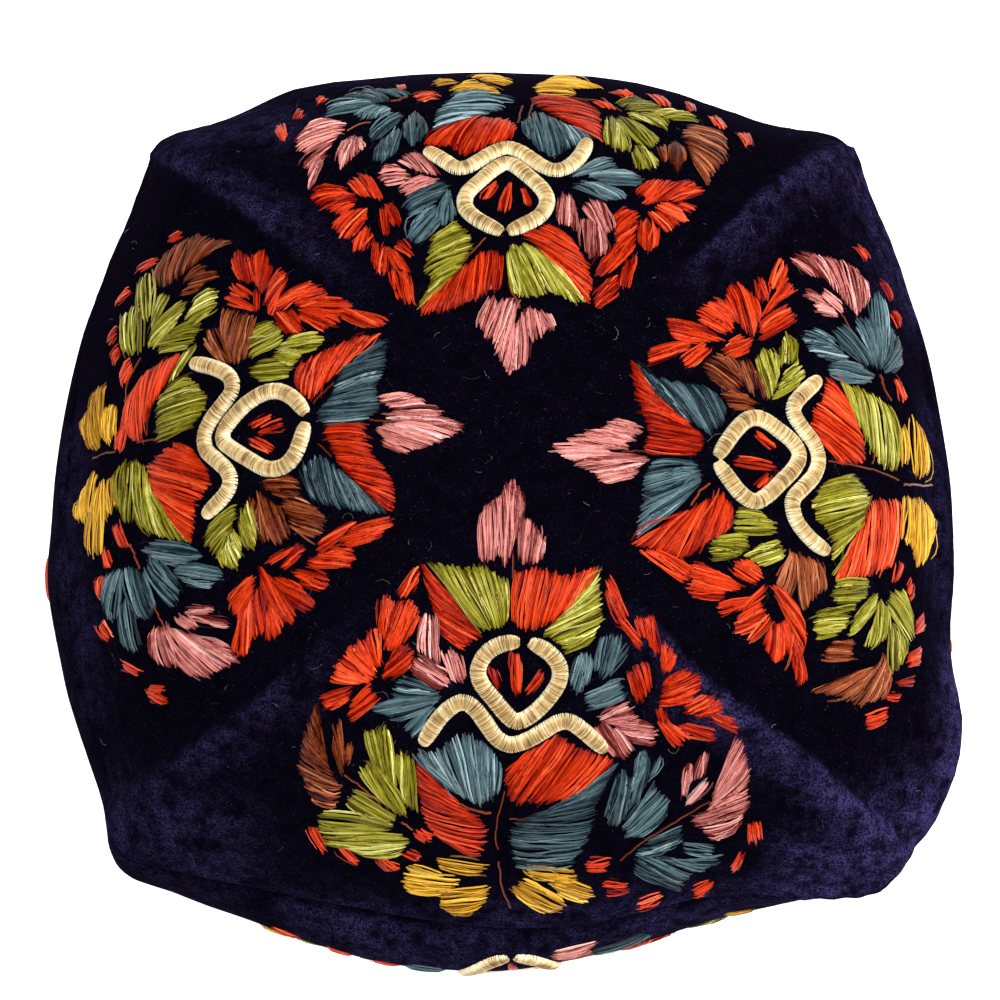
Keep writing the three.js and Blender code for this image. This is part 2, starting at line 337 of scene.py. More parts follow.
def dress_velvet(piece, finishes, shape, to_seam):
    mesh = piece.data
    normals = [vertex.normal.copy() for vertex in mesh.vertices]
    rub_and_sheen = mesh.attributes.new("rub_and_sheen", "FLOAT", "POINT")
    for vertex, normal in zip(mesh.vertices, normals):
        flat = from_axis(vertex.co)
        at_seam = 1 - ease(SEAM_LIP, SEAM_EDGE, abs(vertex.co.z - SEAM_HEIGHT))
        if faces_out(normal, flat, vertex.co.z):
            # No rubbed pile or painted sheen where the seam draws in: painted shade in its groove.
            rub_and_sheen.data[vertex.index].value = rubbed_pile_and_sheen(vertex.co) * (1 - drawn_in(vertex.co))
            sideways = Vector((normal.x, normal.y, normal.z * (1 - at_seam)))
            vertex.co += sideways * shape(vertex.co, flat)
        vertex.co.z += at_seam * to_seam
    for finish in finishes:
        mesh.materials.append(finish)
    for face in mesh.polygons:
        outer = faces_out(face.normal, from_axis(face.center), face.center.z)
        face.material_index = 0 if outer else 1
    mesh.update()


def bearing_of(flat):
    return math.degrees(math.atan2(flat.y, flat.x)) % 360


def seam_puckers(point, flat):
    bearing = bearing_of(flat)
    tight = bell(bearing - TIGHT_PUCKER_BEARING, TIGHT_PUCKER_REACH)
    uneven = PUCKER_UNEVEN * noise.noise(point / PUCKER_PATCH)
    wave = math.sin(math.radians(bearing) * PUCKERS_ROUND + uneven)
    return wave * (PUCKER_DEPTH + TIGHT_PUCKER_DEPTH * tight) * MM


def seam_slack(flat):
    bearing = bearing_of(flat)
    return sum(out * bell(bearing - middle, reach) for middle, reach, out in SLACK) * MM


def crown_shape(point, flat):
    near_seam = 1 - ease(*CROWN_PUCKER_FADE, point.z)
    slack = (1 - ease(*CROWN_SLACK_FADE, point.z)) * seam_slack(flat)
    rolled = FOLD_ROLL * fold_at(flat)[0] * (1 - FOLD_LOSS_AT_SEAM * near_seam)
    drawn = SEAM_DRAW * drawn_in(point)
    return rolled + rippled(point, CROWN_RIPPLES) + slack - drawn + near_seam * seam_puckers(point, flat)


fold_lines = [(paired(line), side, pale) for line, side, pale in FOLDS]
rubbed_and_sheen_lines = [(paired(line), reach * MM, pale) for line, reach, pale in RUBBED_AND_SHEEN]
velvet = velvet_finish()
woven_back = woven_back_finish()
crown = soft_copy("crown", "crown_velvet")
dress_velvet(crown, (velvet, woven_back), crown_shape, -SEAM_CLOSING)
settle(crown, "velvet", "crown")
crown_tree = BVHTree.FromObject(crown, bpy.context.evaluated_depsgraph_get())

# Band. A strip of the same velvet, sewn right side to right side to the crown's edge and turned down.
# It swells out below the seam, draws in again to a plain hem, and lies a little uneven.
BAND_RIPPLES = ((15 * MM, 0.4 * MM),)
BAND_HEM = 4 * MM
BAND_PUCKER_FADE = (20 * MM, 38 * MM)
BAND_SLACK_FADE = (8 * MM, 32 * MM)


def band_shape(point, flat):
    above_hem = ease(0.0, BAND_HEM, point.z)
    near_seam = ease(*BAND_PUCKER_FADE, point.z)
    slack = ease(*BAND_SLACK_FADE, point.z) * seam_slack(flat)
    drawn = SEAM_DRAW * drawn_in(point)
    ripples = rippled(point, BAND_RIPPLES)
    return above_hem * (ripples + slack - drawn + near_seam * seam_puckers(point, flat))


band = soft_copy("band", "band_velvet")
dress_velvet(band, (velvet, woven_back), band_shape, SEAM_CLOSING)
settle(band, "velvet", "band")
band_tree = BVHTree.FromObject(band, bpy.context.evaluated_depsgraph_get())

# Couched cords. On each field of the crown lie a pointed ring and, against its point, a pair of wings, and
# each side of the band has a ring: a cotton core covered crosswise, edge to edge, in cream silk.
FIELD_TURNS = {"front": 0, "right": 90, "back": 180, "left": 270}
BAND_GIRTH_RADIUS = 87.5 * MM
BAND_MARGIN = 0.8 * MM
CROWN_MARGIN = 3 * MM
OVER_THE_CAP = 150 * MM
OUTSIDE_THE_CAP = 200 * MM
CORD_HALF_WIDTH = 1.38 * MM
CORD_RISE = 1.30 * MM
BAND_CORD_RISE = 0.85 * MM
CORD_SINK = 0.10 * MM
CORD_TAPER = 3.2 * MM
CORD_END_SHARE = 0.46
CORE_SHARE = 0.72
CORE_SIDES = 8
CORD_STEPS = 8
CORD_SHADES = (
    (0.0, (0.16, 0.080, 0.022, 1.0)), (0.32, (0.50, 0.32, 0.120, 1.0)),
    (0.66, (0.82, 0.63, 0.310, 1.0)), (0.95, (1.00, 0.91, 0.64, 1.0)),
)
# How a turn's own tone, patches of wear and a painted highlight along both edges of the cord lift its
# colour.
CORD_TURN_TONE = 0.48
CORD_GROUND_TONE = -0.03
CORD_EDGE_HIGHLIGHT = 0.64
CORD_EDGE_HIGHLIGHT_RANGE = (0.25, 0.70)
CORD_WEAR_TONE = 0.24
CORD_WEAR_RANGE = (0.36, 0.62)
CORD_WEAR_GRAIN = 240.0

# The silk that covers the core: its pitch and thickness, the arc of one turn over the core, in degrees,
# and how much single turns lean, stand loose and differ in thickness.
WRAP_PITCH = 0.20 * MM
WRAP_THREAD = 0.130 * MM
WRAP_ARC_START = -10
WRAP_ARC_SWEEP = 200
WRAP_ARC_POINTS = 7
WRAP_LEAN = ((-0.04, -0.10, -0.08), (0.04, 0.05, 0.08))
WRAP_LOOSE = (0.98, 1.03)
WRAP_GIRTH = (0.85, 1.18)
THREAD_SIDES = 3

# The cords' routes, a ring and a pair of wings for each field, in millimetres across the field and
# out from the cap's axis. The band's rings are in millimetres along the side and above the hem.
CORD_ROUTES = {
    "front": (
        (1.4, 35.9, -1.6, 36.3, -4.2, 37.8, -5.6, 40.4, -5.0, 42.8, -2.9, 45.3, -0.7, 47.8, 1.1, 48.9,
         3.6, 47.8, 6.4, 45.2, 8.3, 42.2, 8.2, 39.6, 6.2, 37.4, 3.2, 35.9),
        (-15.2, 52.4, -12.4, 48.5, -10.0, 46.4, -8.0, 45.8, -6.1, 46.9, -4.3, 49.1, -2.5, 51.4, -0.2, 52.6,
         2.6, 52.0, 5.5, 50.5, 7.9, 49.1, 10.0, 48.8, 12.4, 50.1, 16.4, 53.3),
    ),
    "right": (
        (-4.1, 35.6, -6.6, 37.5, -9.2, 39.7, -10.5, 42.2, -9.1, 44.6, -6.7, 46.9, -4.0, 49.3, -1.4, 50.4,
         0.7, 49.4, 2.7, 46.7, 4.4, 43.6, 4.0, 41.1, 1.4, 38.6, -3.2, 35.6),
        (-17.8, 55.5, -16.2, 52.6, -13.5, 50.0, -11.0, 49.1, -9.1, 49.3, -6.9, 51.2, -4.5, 53.1, -1.6, 54.0,
         1.2, 53.2, 3.9, 50.9, 6.1, 49.5, 8.0, 49.8, 10.3, 51.6, 13.4, 54.5),
    ),
    "back": (
        (0.8, 37.4, -2.2, 38.9, -4.9, 40.8, -6.1, 43.6, -5.3, 46.2, -3.0, 48.9, -0.7, 51.2, 1.2, 52.1,
         3.3, 50.8, 6.0, 48.0, 8.2, 45.2, 8.3, 42.3, 6.1, 39.8, 1.9, 37.3),
        (-13.5, 57.9, -12.3, 54.6, -10.2, 51.8, -7.8, 50.6, -5.7, 51.2, -3.6, 52.9, -1.4, 54.7, 0.9, 55.7,
         3.4, 54.8, 6.2, 52.6, 8.3, 51.2, 10.2, 51.1, 12.1, 52.6, 15.6, 55.4),
    ),
    "left": (
        (-4.2, 35.9, -6.7, 37.7, -8.5, 40.3, -8.6, 43.1, -7.2, 46.0, -5.0, 48.5, -2.6, 50.4, -0.6, 50.5,
         1.1, 48.8, 3.2, 45.9, 5.1, 42.8, 5.1, 39.8, 2.8, 37.5, -2.5, 35.8),
        (-16.0, 56.9, -14.6, 53.1, -12.9, 50.3, -11.0, 49.2, -9.0, 49.5, -6.9, 51.2, -4.5, 53.1, -2.0, 54.1,
         0.7, 53.6, 2.9, 51.5, 4.9, 49.7, 7.0, 49.1, 9.3, 50.2, 12.4, 53.8),
    ),
}
FRONT_BAND_RING = (
    -0.2, 32.6, -2.6, 31.6, -5.0, 29.4, -7.0, 26.4, -8.0, 23.0, -7.4, 19.6, -4.4, 16.6, 0.5, 14.4,
    5.0, 16.6, 7.8, 19.6, 8.4, 23.0, 7.6, 26.4, 6.0, 29.4, 3.6, 31.6, 1.2, 32.6,
)
LOW_BAND_RING = (
    -0.7, 18.4, -3.9, 17.9, -6.7, 16.0, -7.8, 13.6, -6.9, 11.2, -3.9, 8.4, 0, 6.6,
    3.9, 8.4, 6.9, 11.2, 7.8, 13.6, 6.7, 16.0, 3.9, 17.9, 0.7, 18.4,
)


def crown_seat(field, place_on_field):
    turn = math.radians(FIELD_TURNS[field])
    side, out = place_on_field
    x = CAP_AXIS.x + side * math.cos(turn) + out * math.sin(turn)
    y = CAP_AXIS.y + side * math.sin(turn) - out * math.cos(turn)
    spot, normal = crown_tree.ray_cast(Vector((x, y, OVER_THE_CAP)), Vector((0, 0, -1)))[:2]
    if spot is None or spot.z < SEAM_HEIGHT:
        spot, normal = crown_tree.find_nearest(Vector((x, y, SEAM_HEIGHT + CROWN_MARGIN)))[:2]
    return spot, normal


def band_seat(field, place_on_side):
    along_hem, height = place_on_side
    bearing = math.radians(FIELD_TURNS[field] - 90) + along_hem / BAND_GIRTH_RADIUS
    inward = Vector((-math.cos(bearing), -math.sin(bearing), 0.0))
    level = min(max(height, BAND_MARGIN), SEAM_HEIGHT - BAND_MARGIN)
    start = Vector((CAP_AXIS.x, CAP_AXIS.y, level)) - inward * OUTSIDE_THE_CAP
    return band_tree.ray_cast(start, inward)[:2]


def smooth_route(points, steps):
    route = []
    last = len(points) - 1
    for leg in range(last):
        p0, p1 = points[max(leg - 1, 0)], points[leg]
        p2, p3 = points[leg + 1], points[min(leg + 2, last)]
        for step in range(steps):
            t = step / steps
            route.append(0.5 * (2 * p1 + (p2 - p0) * t + (2 * p0 - 5 * p1 + 4 * p2 - p3) * t * t
                                + (3 * p1 - p0 - 3 * p2 + p3) * t * t * t))
    route.append(points[last])
    return route


def path_mesh(name, paths, **values):
    mesh = bpy.data.meshes.new(name)
    spots = [spot for path in paths for spot in path]
    edges = []
    start = 0
    for path in paths:
        edges += [(start + i, start + i + 1) for i in range(len(path) - 1)]
        start += len(path)
    mesh.from_pydata(spots, edges, [])
    for key, numbers in values.items():
        if isinstance(numbers[0], Vector):
            layer = mesh.attributes.new(key, "FLOAT_VECTOR", "POINT")
            layer.data.foreach_set("vector", [part for number in numbers for part in number])
        else:
            layer = mesh.attributes.new(key, "FLOAT", "POINT")
            layer.data.foreach_set("value", numbers)
    return mesh


def tree_with(name, *inputs):
    tree = bpy.data.node_groups.new(name, "GeometryNodeTree")
    tree.interface.new_socket("Geometry", in_out="INPUT", socket_type="NodeSocketGeometry")
    tree.interface.new_socket("Geometry", in_out="OUTPUT", socket_type="NodeSocketGeometry")
    for label, kind in inputs:
        tree.interface.new_socket(label, in_out="INPUT", socket_type="NodeSocket" + kind)
    return tree, tree.nodes.new("NodeGroupInput").outputs, tree.nodes.new("NodeGroupOutput").inputs


def grow(piece, tree, values):
    modifier = piece.modifiers.new("grow", "NODES")
    modifier.node_group = tree
    for item in tree.interface.items_tree:
        if item.in_out == "INPUT" and item.name in values:
            modifier[item.identifier] = values[item.name]
    grown = bpy.data.meshes.new_from_object(piece.evaluated_get(bpy.context.evaluated_depsgraph_get()))
    piece.modifiers.remove(modifier)
    grown.name = piece.name
    piece.data = grown
    return piece


def kept_value(tree, geometry, name, value, domain="POINT", data_type="FLOAT"):
    store = add_node(tree, "GeometryNodeStoreNamedAttribute", Name=name, domain=domain, data_type=data_type)
    wire(tree, geometry, store.inputs["Geometry"])
    wire(tree, value, store.inputs["Value"])
    return store.outputs["Geometry"]


def read_value(tree, name, data_type="FLOAT"):
    named = add_node(tree, "GeometryNodeInputNamedAttribute", Name=name, data_type=data_type)
    return named.outputs["Attribute"]


def any_between(tree, low, high, seed, shift=0):
    made = add_node(tree, "FunctionNodeRandomValue")
    vector = isinstance(low, tuple)
    made.data_type = "FLOAT_VECTOR" if vector else "FLOAT"
    made.inputs[0 if vector else 2].default_value = low
    made.inputs[1 if vector else 3].default_value = high
    wire(tree, sums(tree, "ADD", seed, shift), made.inputs["Seed"])
    return made.outputs[0 if vector else 1]


def tube_of(tree, path, thickness, sides):
    outline = add_node(tree, "GeometryNodeCurvePrimitiveCircle", Resolution=sides, Radius=1.0)
    tube = add_node(tree, "GeometryNodeCurveToMesh")
    tube.inputs["Fill Caps"].default_value = True
    wire(tree, path, tube.inputs["Curve"])
    wire(tree, outline.outputs["Curve"], tube.inputs["Profile Curve"])
    wire(tree, thickness, tube.inputs["Scale"])
    return tube.outputs["Mesh"]


def close_tree(tree, meshes, silk, result):
    join = add_node(tree, "GeometryNodeJoinGeometry")
    for mesh in meshes:
        wire(tree, mesh, join.inputs["Geometry"])
    whole = add_node(tree, "GeometryNodeRealizeInstances")
    wire(tree, join.outputs["Geometry"], whole.inputs["Geometry"])
    round_off = add_node(tree, "GeometryNodeSetShadeSmooth")
    wire(tree, whole.outputs["Geometry"], round_off.inputs["Geometry"])
    paint = add_node(tree, "GeometryNodeSetMaterial")
    wire(tree, round_off.outputs["Geometry"], paint.inputs["Geometry"])
    wire(tree, silk, paint.inputs["Material"])
    wire(tree, paint.outputs["Geometry"], result)


def wrapped_cord_tree():
    tree, given, result = tree_with(
        "wrapped_cord", ("Pitch", "Float"), ("Thread", "Float"), ("Half Width", "Float"), ("Rise", "Float"),
        ("Taper", "Float"), ("Seed", "Int"), ("Silk", "Material"))
    seed = given["Seed"]
    curve = add_node(tree, "GeometryNodeMeshToCurve")
    wire(tree, given["Geometry"], curve.inputs["Mesh"])
    run = add_node(tree, "GeometryNodeSplineParameter").outputs["Length"]
    whole = add_node(tree, "GeometryNodeSplineLength").outputs["Length"]
    to_end = sums(tree, "MINIMUM", run, sums(tree, "SUBTRACT", whole, run))
    route = kept_value(tree, curve.outputs["Curve"], "to_end", to_end)
    inside = sums(tree, "MINIMUM", sums(tree, "DIVIDE", read_value(tree, "to_end"), given["Taper"]), 1.0)
    short = sums(tree, "SUBTRACT", 1.0, inside)
    round_end = sums(tree, "SQRT", sums(tree, "SUBTRACT", 1.0, sums(tree, "MULTIPLY", short, short)))
    full = sums(tree, "MULTIPLY_ADD", round_end, 1 - CORD_END_SHARE, CORD_END_SHARE)
    core_radius = sums(tree, "MULTIPLY", full, sums(tree, "MULTIPLY", given["Rise"], CORE_SHARE))
    core = tube_of(tree, route, core_radius, CORE_SIDES)
    no_shade = sums(tree, "ADD", 0.0, 0.0)
    core = kept_value(tree, core, "shade", no_shade)
    stations = add_node(tree, "GeometryNodeCurveToPoints", mode="LENGTH")
    wire(tree, route, stations.inputs["Curve"])
    wire(tree, given["Pitch"], stations.inputs["Length"])
    facing = add_node(tree, "FunctionNodeAlignRotationToVector", axis="Z")
    wire(tree, stations.outputs["Tangent"], facing.inputs["Vector"])
    upright = add_node(tree, "FunctionNodeAlignRotationToVector", axis="Y", pivot_axis="Z")
    wire(tree, facing.outputs["Rotation"], upright.inputs["Rotation"])
    wire(tree, read_value(tree, "lie", "FLOAT_VECTOR"), upright.inputs["Vector"])
    slant = add_node(tree, "FunctionNodeEulerToRotation")
    wire(tree, any_between(tree, *WRAP_LEAN, seed), slant.inputs["Euler"])
    lean = add_node(tree, "FunctionNodeRotateRotation", rotation_space="LOCAL")
    wire(tree, upright.outputs["Rotation"], lean.inputs["Rotation"])
    wire(tree, slant.outputs["Rotation"], lean.inputs["Rotate By"])
    spread_out = add_node(tree, "ShaderNodeCombineXYZ", Z=1.0)
    loose = any_between(tree, *WRAP_LOOSE, seed, 1)
    for size, axis in (("Half Width", "X"), ("Rise", "Y")):
        reach = sums(tree, "MULTIPLY", sums(tree, "MULTIPLY", given[size], full), loose)
        wire(tree, reach, spread_out.inputs[axis])
    turn = add_node(tree, "GeometryNodeCurveArc", mode="RADIUS", Resolution=WRAP_ARC_POINTS, Radius=1.0,
                    Start_Angle=math.radians(WRAP_ARC_START), Sweep_Angle=math.radians(WRAP_ARC_SWEEP))
    wraps = add_node(tree, "GeometryNodeInstanceOnPoints")
    wire(tree, stations.outputs["Points"], wraps.inputs["Points"])
    wire(tree, turn.outputs["Curve"], wraps.inputs["Instance"])
    wire(tree, lean.outputs["Rotation"], wraps.inputs["Rotation"])
    wire(tree, spread_out.outputs["Vector"], wraps.inputs["Scale"])
    own_shade = any_between(tree, 0.0, 1.0, seed, 2)
    toned = kept_value(tree, wraps.outputs["Instances"], "shade", own_shade, "INSTANCE")
    sized = kept_value(tree, toned, "girth", any_between(tree, *WRAP_GIRTH, seed, 3), "INSTANCE")
    apart = add_node(tree, "GeometryNodeRealizeInstances")
    wire(tree, sized, apart.inputs["Geometry"])
    over = add_node(tree, "GeometryNodeSplineParameter").outputs["Factor"]
    strands = kept_value(tree, apart.outputs["Geometry"], "over", over)
    thickness = sums(tree, "MULTIPLY", read_value(tree, "girth"), given["Thread"])
    silk_turns = tube_of(tree, strands, thickness, THREAD_SIDES)
    close_tree(tree, (core, silk_turns), given["Silk"], result["Geometry"])
    return tree


def ramped(tree, value, *stops):
    ramp = add_node(tree, "ShaderNodeValToRGB")
    marks = ramp.color_ramp.elements
    while len(marks) < len(stops):
        marks.new(0.5)
    for mark, (position, colour) in zip(marks, stops):
        mark.position = position
        mark.color = colour
    wire(tree, value, ramp.inputs["Fac"])
    return ramp.outputs["Color"]


def cord_finish():
    finish, tree, surface = new_finish("cream_cord_silk")
    from_middle = sums(tree, "ABSOLUTE", sums(tree, "MULTIPLY_ADD", attribute(tree, "over"), 2.0, -1.0))
    # Both edges of the cord are painted paler: a painted highlight where its sides turn from the light.
    edge_highlight = spread(tree, from_middle, *CORD_EDGE_HIGHLIGHT_RANGE)
    worn = spread(tree, grain(tree, CORD_WEAR_GRAIN), *CORD_WEAR_RANGE)
    light = sums(tree, "MULTIPLY_ADD", attribute(tree, "shade"), CORD_TURN_TONE, CORD_GROUND_TONE)
    paler = sums(tree, "MULTIPLY_ADD", worn, CORD_WEAR_TONE, light)
    silk = ramped(tree, sums(tree, "MULTIPLY_ADD", edge_highlight, CORD_EDGE_HIGHLIGHT, paler), *CORD_SHADES)
    wire(tree, silk, surface.inputs["Base Color"])
    set_surface(surface, Roughness=0.40, Specular_IOR_Level=0.40)
    return finish


def sewn_cord(name, route, seat, rise, field, seed):
    line = []
    lie = []
    for spot_on_field in smooth_route(paired(route), CORD_STEPS):
        spot, normal = seat(field, spot_on_field)
        line.append(spot + normal * CORD_SINK)
        lie.append(normal)
    piece = place(name.replace("cord", "wrapped_cord"), path_mesh(name, [line], lie=lie))
    grow(piece, cord_tree, {"Pitch": WRAP_PITCH, "Thread": WRAP_THREAD, "Half Width": CORD_HALF_WIDTH,
                            "Rise": rise, "Taper": CORD_TAPER, "Seed": seed, "Silk": cord_silk})
    settle(piece, "silk_cord", name)


cord_tree = wrapped_cord_tree()
cord_silk = cord_finish()
for number, (field, (ring, wing)) in enumerate(CORD_ROUTES.items()):
    band_ring = FRONT_BAND_RING if field == "front" else LOW_BAND_RING
    sewn_cord("ring_cord_" + field, ring, crown_seat, CORD_RISE, field, number * 3)
    sewn_cord("wing_cord_" + field, wing, crown_seat, CORD_RISE, field, number * 3 + 1)
    sewn_cord("band_ring_cord_" + field, band_ring, band_seat, BAND_CORD_RISE, field, number * 3 + 2)

# Silk embroidery. Leaves, petals and blades in laid satin stitch: untwisted silk floss taken straight from
# one edge of each shape to the other, close side by side and down through the velvet at both ends.
# Padding threads lie under them, and a few loose wisps stand above.
STRAND_PITCH = 0.305 * MM
STRAND_HALF_WIDTH = 0.105 * MM
STRAND_CROWN = 0.13 * MM
STRAND_STEP = 1.7 * MM
STRAND_FEWEST_STEPS = 4
STRAND_SINK = 0.12 * MM
STRAND_ROOM = 0.55
STRANDS_BY_WIDER_END = 0.8
STRANDS_BY_NARROWER_END = 0.2

# How soon a strand rises from the velvet, the share of its width and girth that its ends have, how much
# darker its ends are painted as shade, and how soon each of these comes to the full.
STRAND_RISE_RATE = 1.08
STRAND_END_WIDTH = 0.55
STRAND_WIDTH_RATE = 2.6
STRAND_END_GIRTH = 0.72
STRAND_GIRTH_RATE = 3.5
STRAND_END_PAINTED_SHADE = 0.28
STRAND_PAINTED_SHADE_RATE = 1.8

# How far single strands stray: across the petal, at both ends, sideways, and in height, girth and shade.
# The ends, the wave and the height are in millimetres.
STRAND_ASTRAY = 0.26
STRAND_SKEW = 0.3
STRAND_START_RAGGED = (-0.25, 0.55)
STRAND_END_RAGGED = (-0.25, 0.60)
STRAND_SWAY = 0.018
STRAND_WAVE = 0.14
STRAND_UNEVEN = 0.09
STRAND_GIRTH = (0.88, 1.14)
STRAND_TONE = 0.20

# Petals: how far one spreads past its chart, its shade, how it bows and falls off towards its sides, its
# padding, and how far its wisps reach past its ends and aside. Padding and reach are in millimetres.
PETAL_SPREAD = 0.5 * MM
PETAL_TONE = (0.59, 0.07)
PETAL_BOW = 0.04
PETAL_SIDE_FALL = 0.45
PADDING_LEAST = 0.25
PADDING_FOR_WIDTH = 0.06
PADDING_MOST = 0.80
UNDERLAY_PITCH = 1.3 * MM
UNDERLAY_SHARE = 0.9
UNDERLAY_INSET = 0.05
UNDERLAY_LIFT = 0.35
UNDERLAY_GIRTH = 2.4
# The padding is painted darker, as shade where it shows between the strands.
UNDERLAY_PAINTED_SHADE = 0.28
STRANDS_FOR_A_WISP = 9
WISP_START = (0.1, 0.9)
WISP_END = (0.1, 1.0)
WISP_ASIDE = 0.5
WISP_BEND = 0.06
WISP_LIFT = 0.15 * MM
WISP_GIRTH = 0.40

# Each strand of floss parts into filaments, which cross, stand unevenly and differ in tone and girth.
FILAMENTS = 2
FILAMENT_RADIUS = 0.105 * MM
FILAMENT_ASTRAY = 0.16
FILAMENT_CROSSING = 0.7
FILAMENT_UNEVEN = 0.45
FILAMENT_TONE = 0.15
# The outer filaments of a strand lie lower and are painted darker, as shade between strands.
FILAMENT_SIDE_PAINTED_SHADE = 0.28
FILAMENT_GIRTH = 0.15
FLOSS_SEED = 5
EMBROIDERY_SEED = 11

# The silks' colours, each in the shadow between threads, on the thread and where the thread shines.
SILK_STOPS = (0.0, 0.46, 0.92)
SILK_DYE_GRAIN = 420.0
SILK_DYE_SPREAD = 0.36
SILK_SHADES = {
    "poppy": ((0.20, 0.002, 0.0003), (0.80, 0.052, 0.007), (1.00, 0.21, 0.075)),
    "leaf": ((0.075, 0.055, 0.0008), (0.39, 0.355, 0.027), (0.98, 0.95, 0.36)),
    "slate": ((0.007, 0.017, 0.024), (0.102, 0.178, 0.204), (0.42, 0.55, 0.57)),
    "rose": ((0.15, 0.014, 0.012), (0.86, 0.315, 0.275), (1.00, 0.73, 0.69)),
    "russet": ((0.035, 0.0015, 0.0003), (0.33, 0.068, 0.017), (0.78, 0.31, 0.145)),
    "saffron": ((0.26, 0.10, 0.0025), (0.90, 0.49, 0.026), (1.00, 0.78, 0.17)),
}

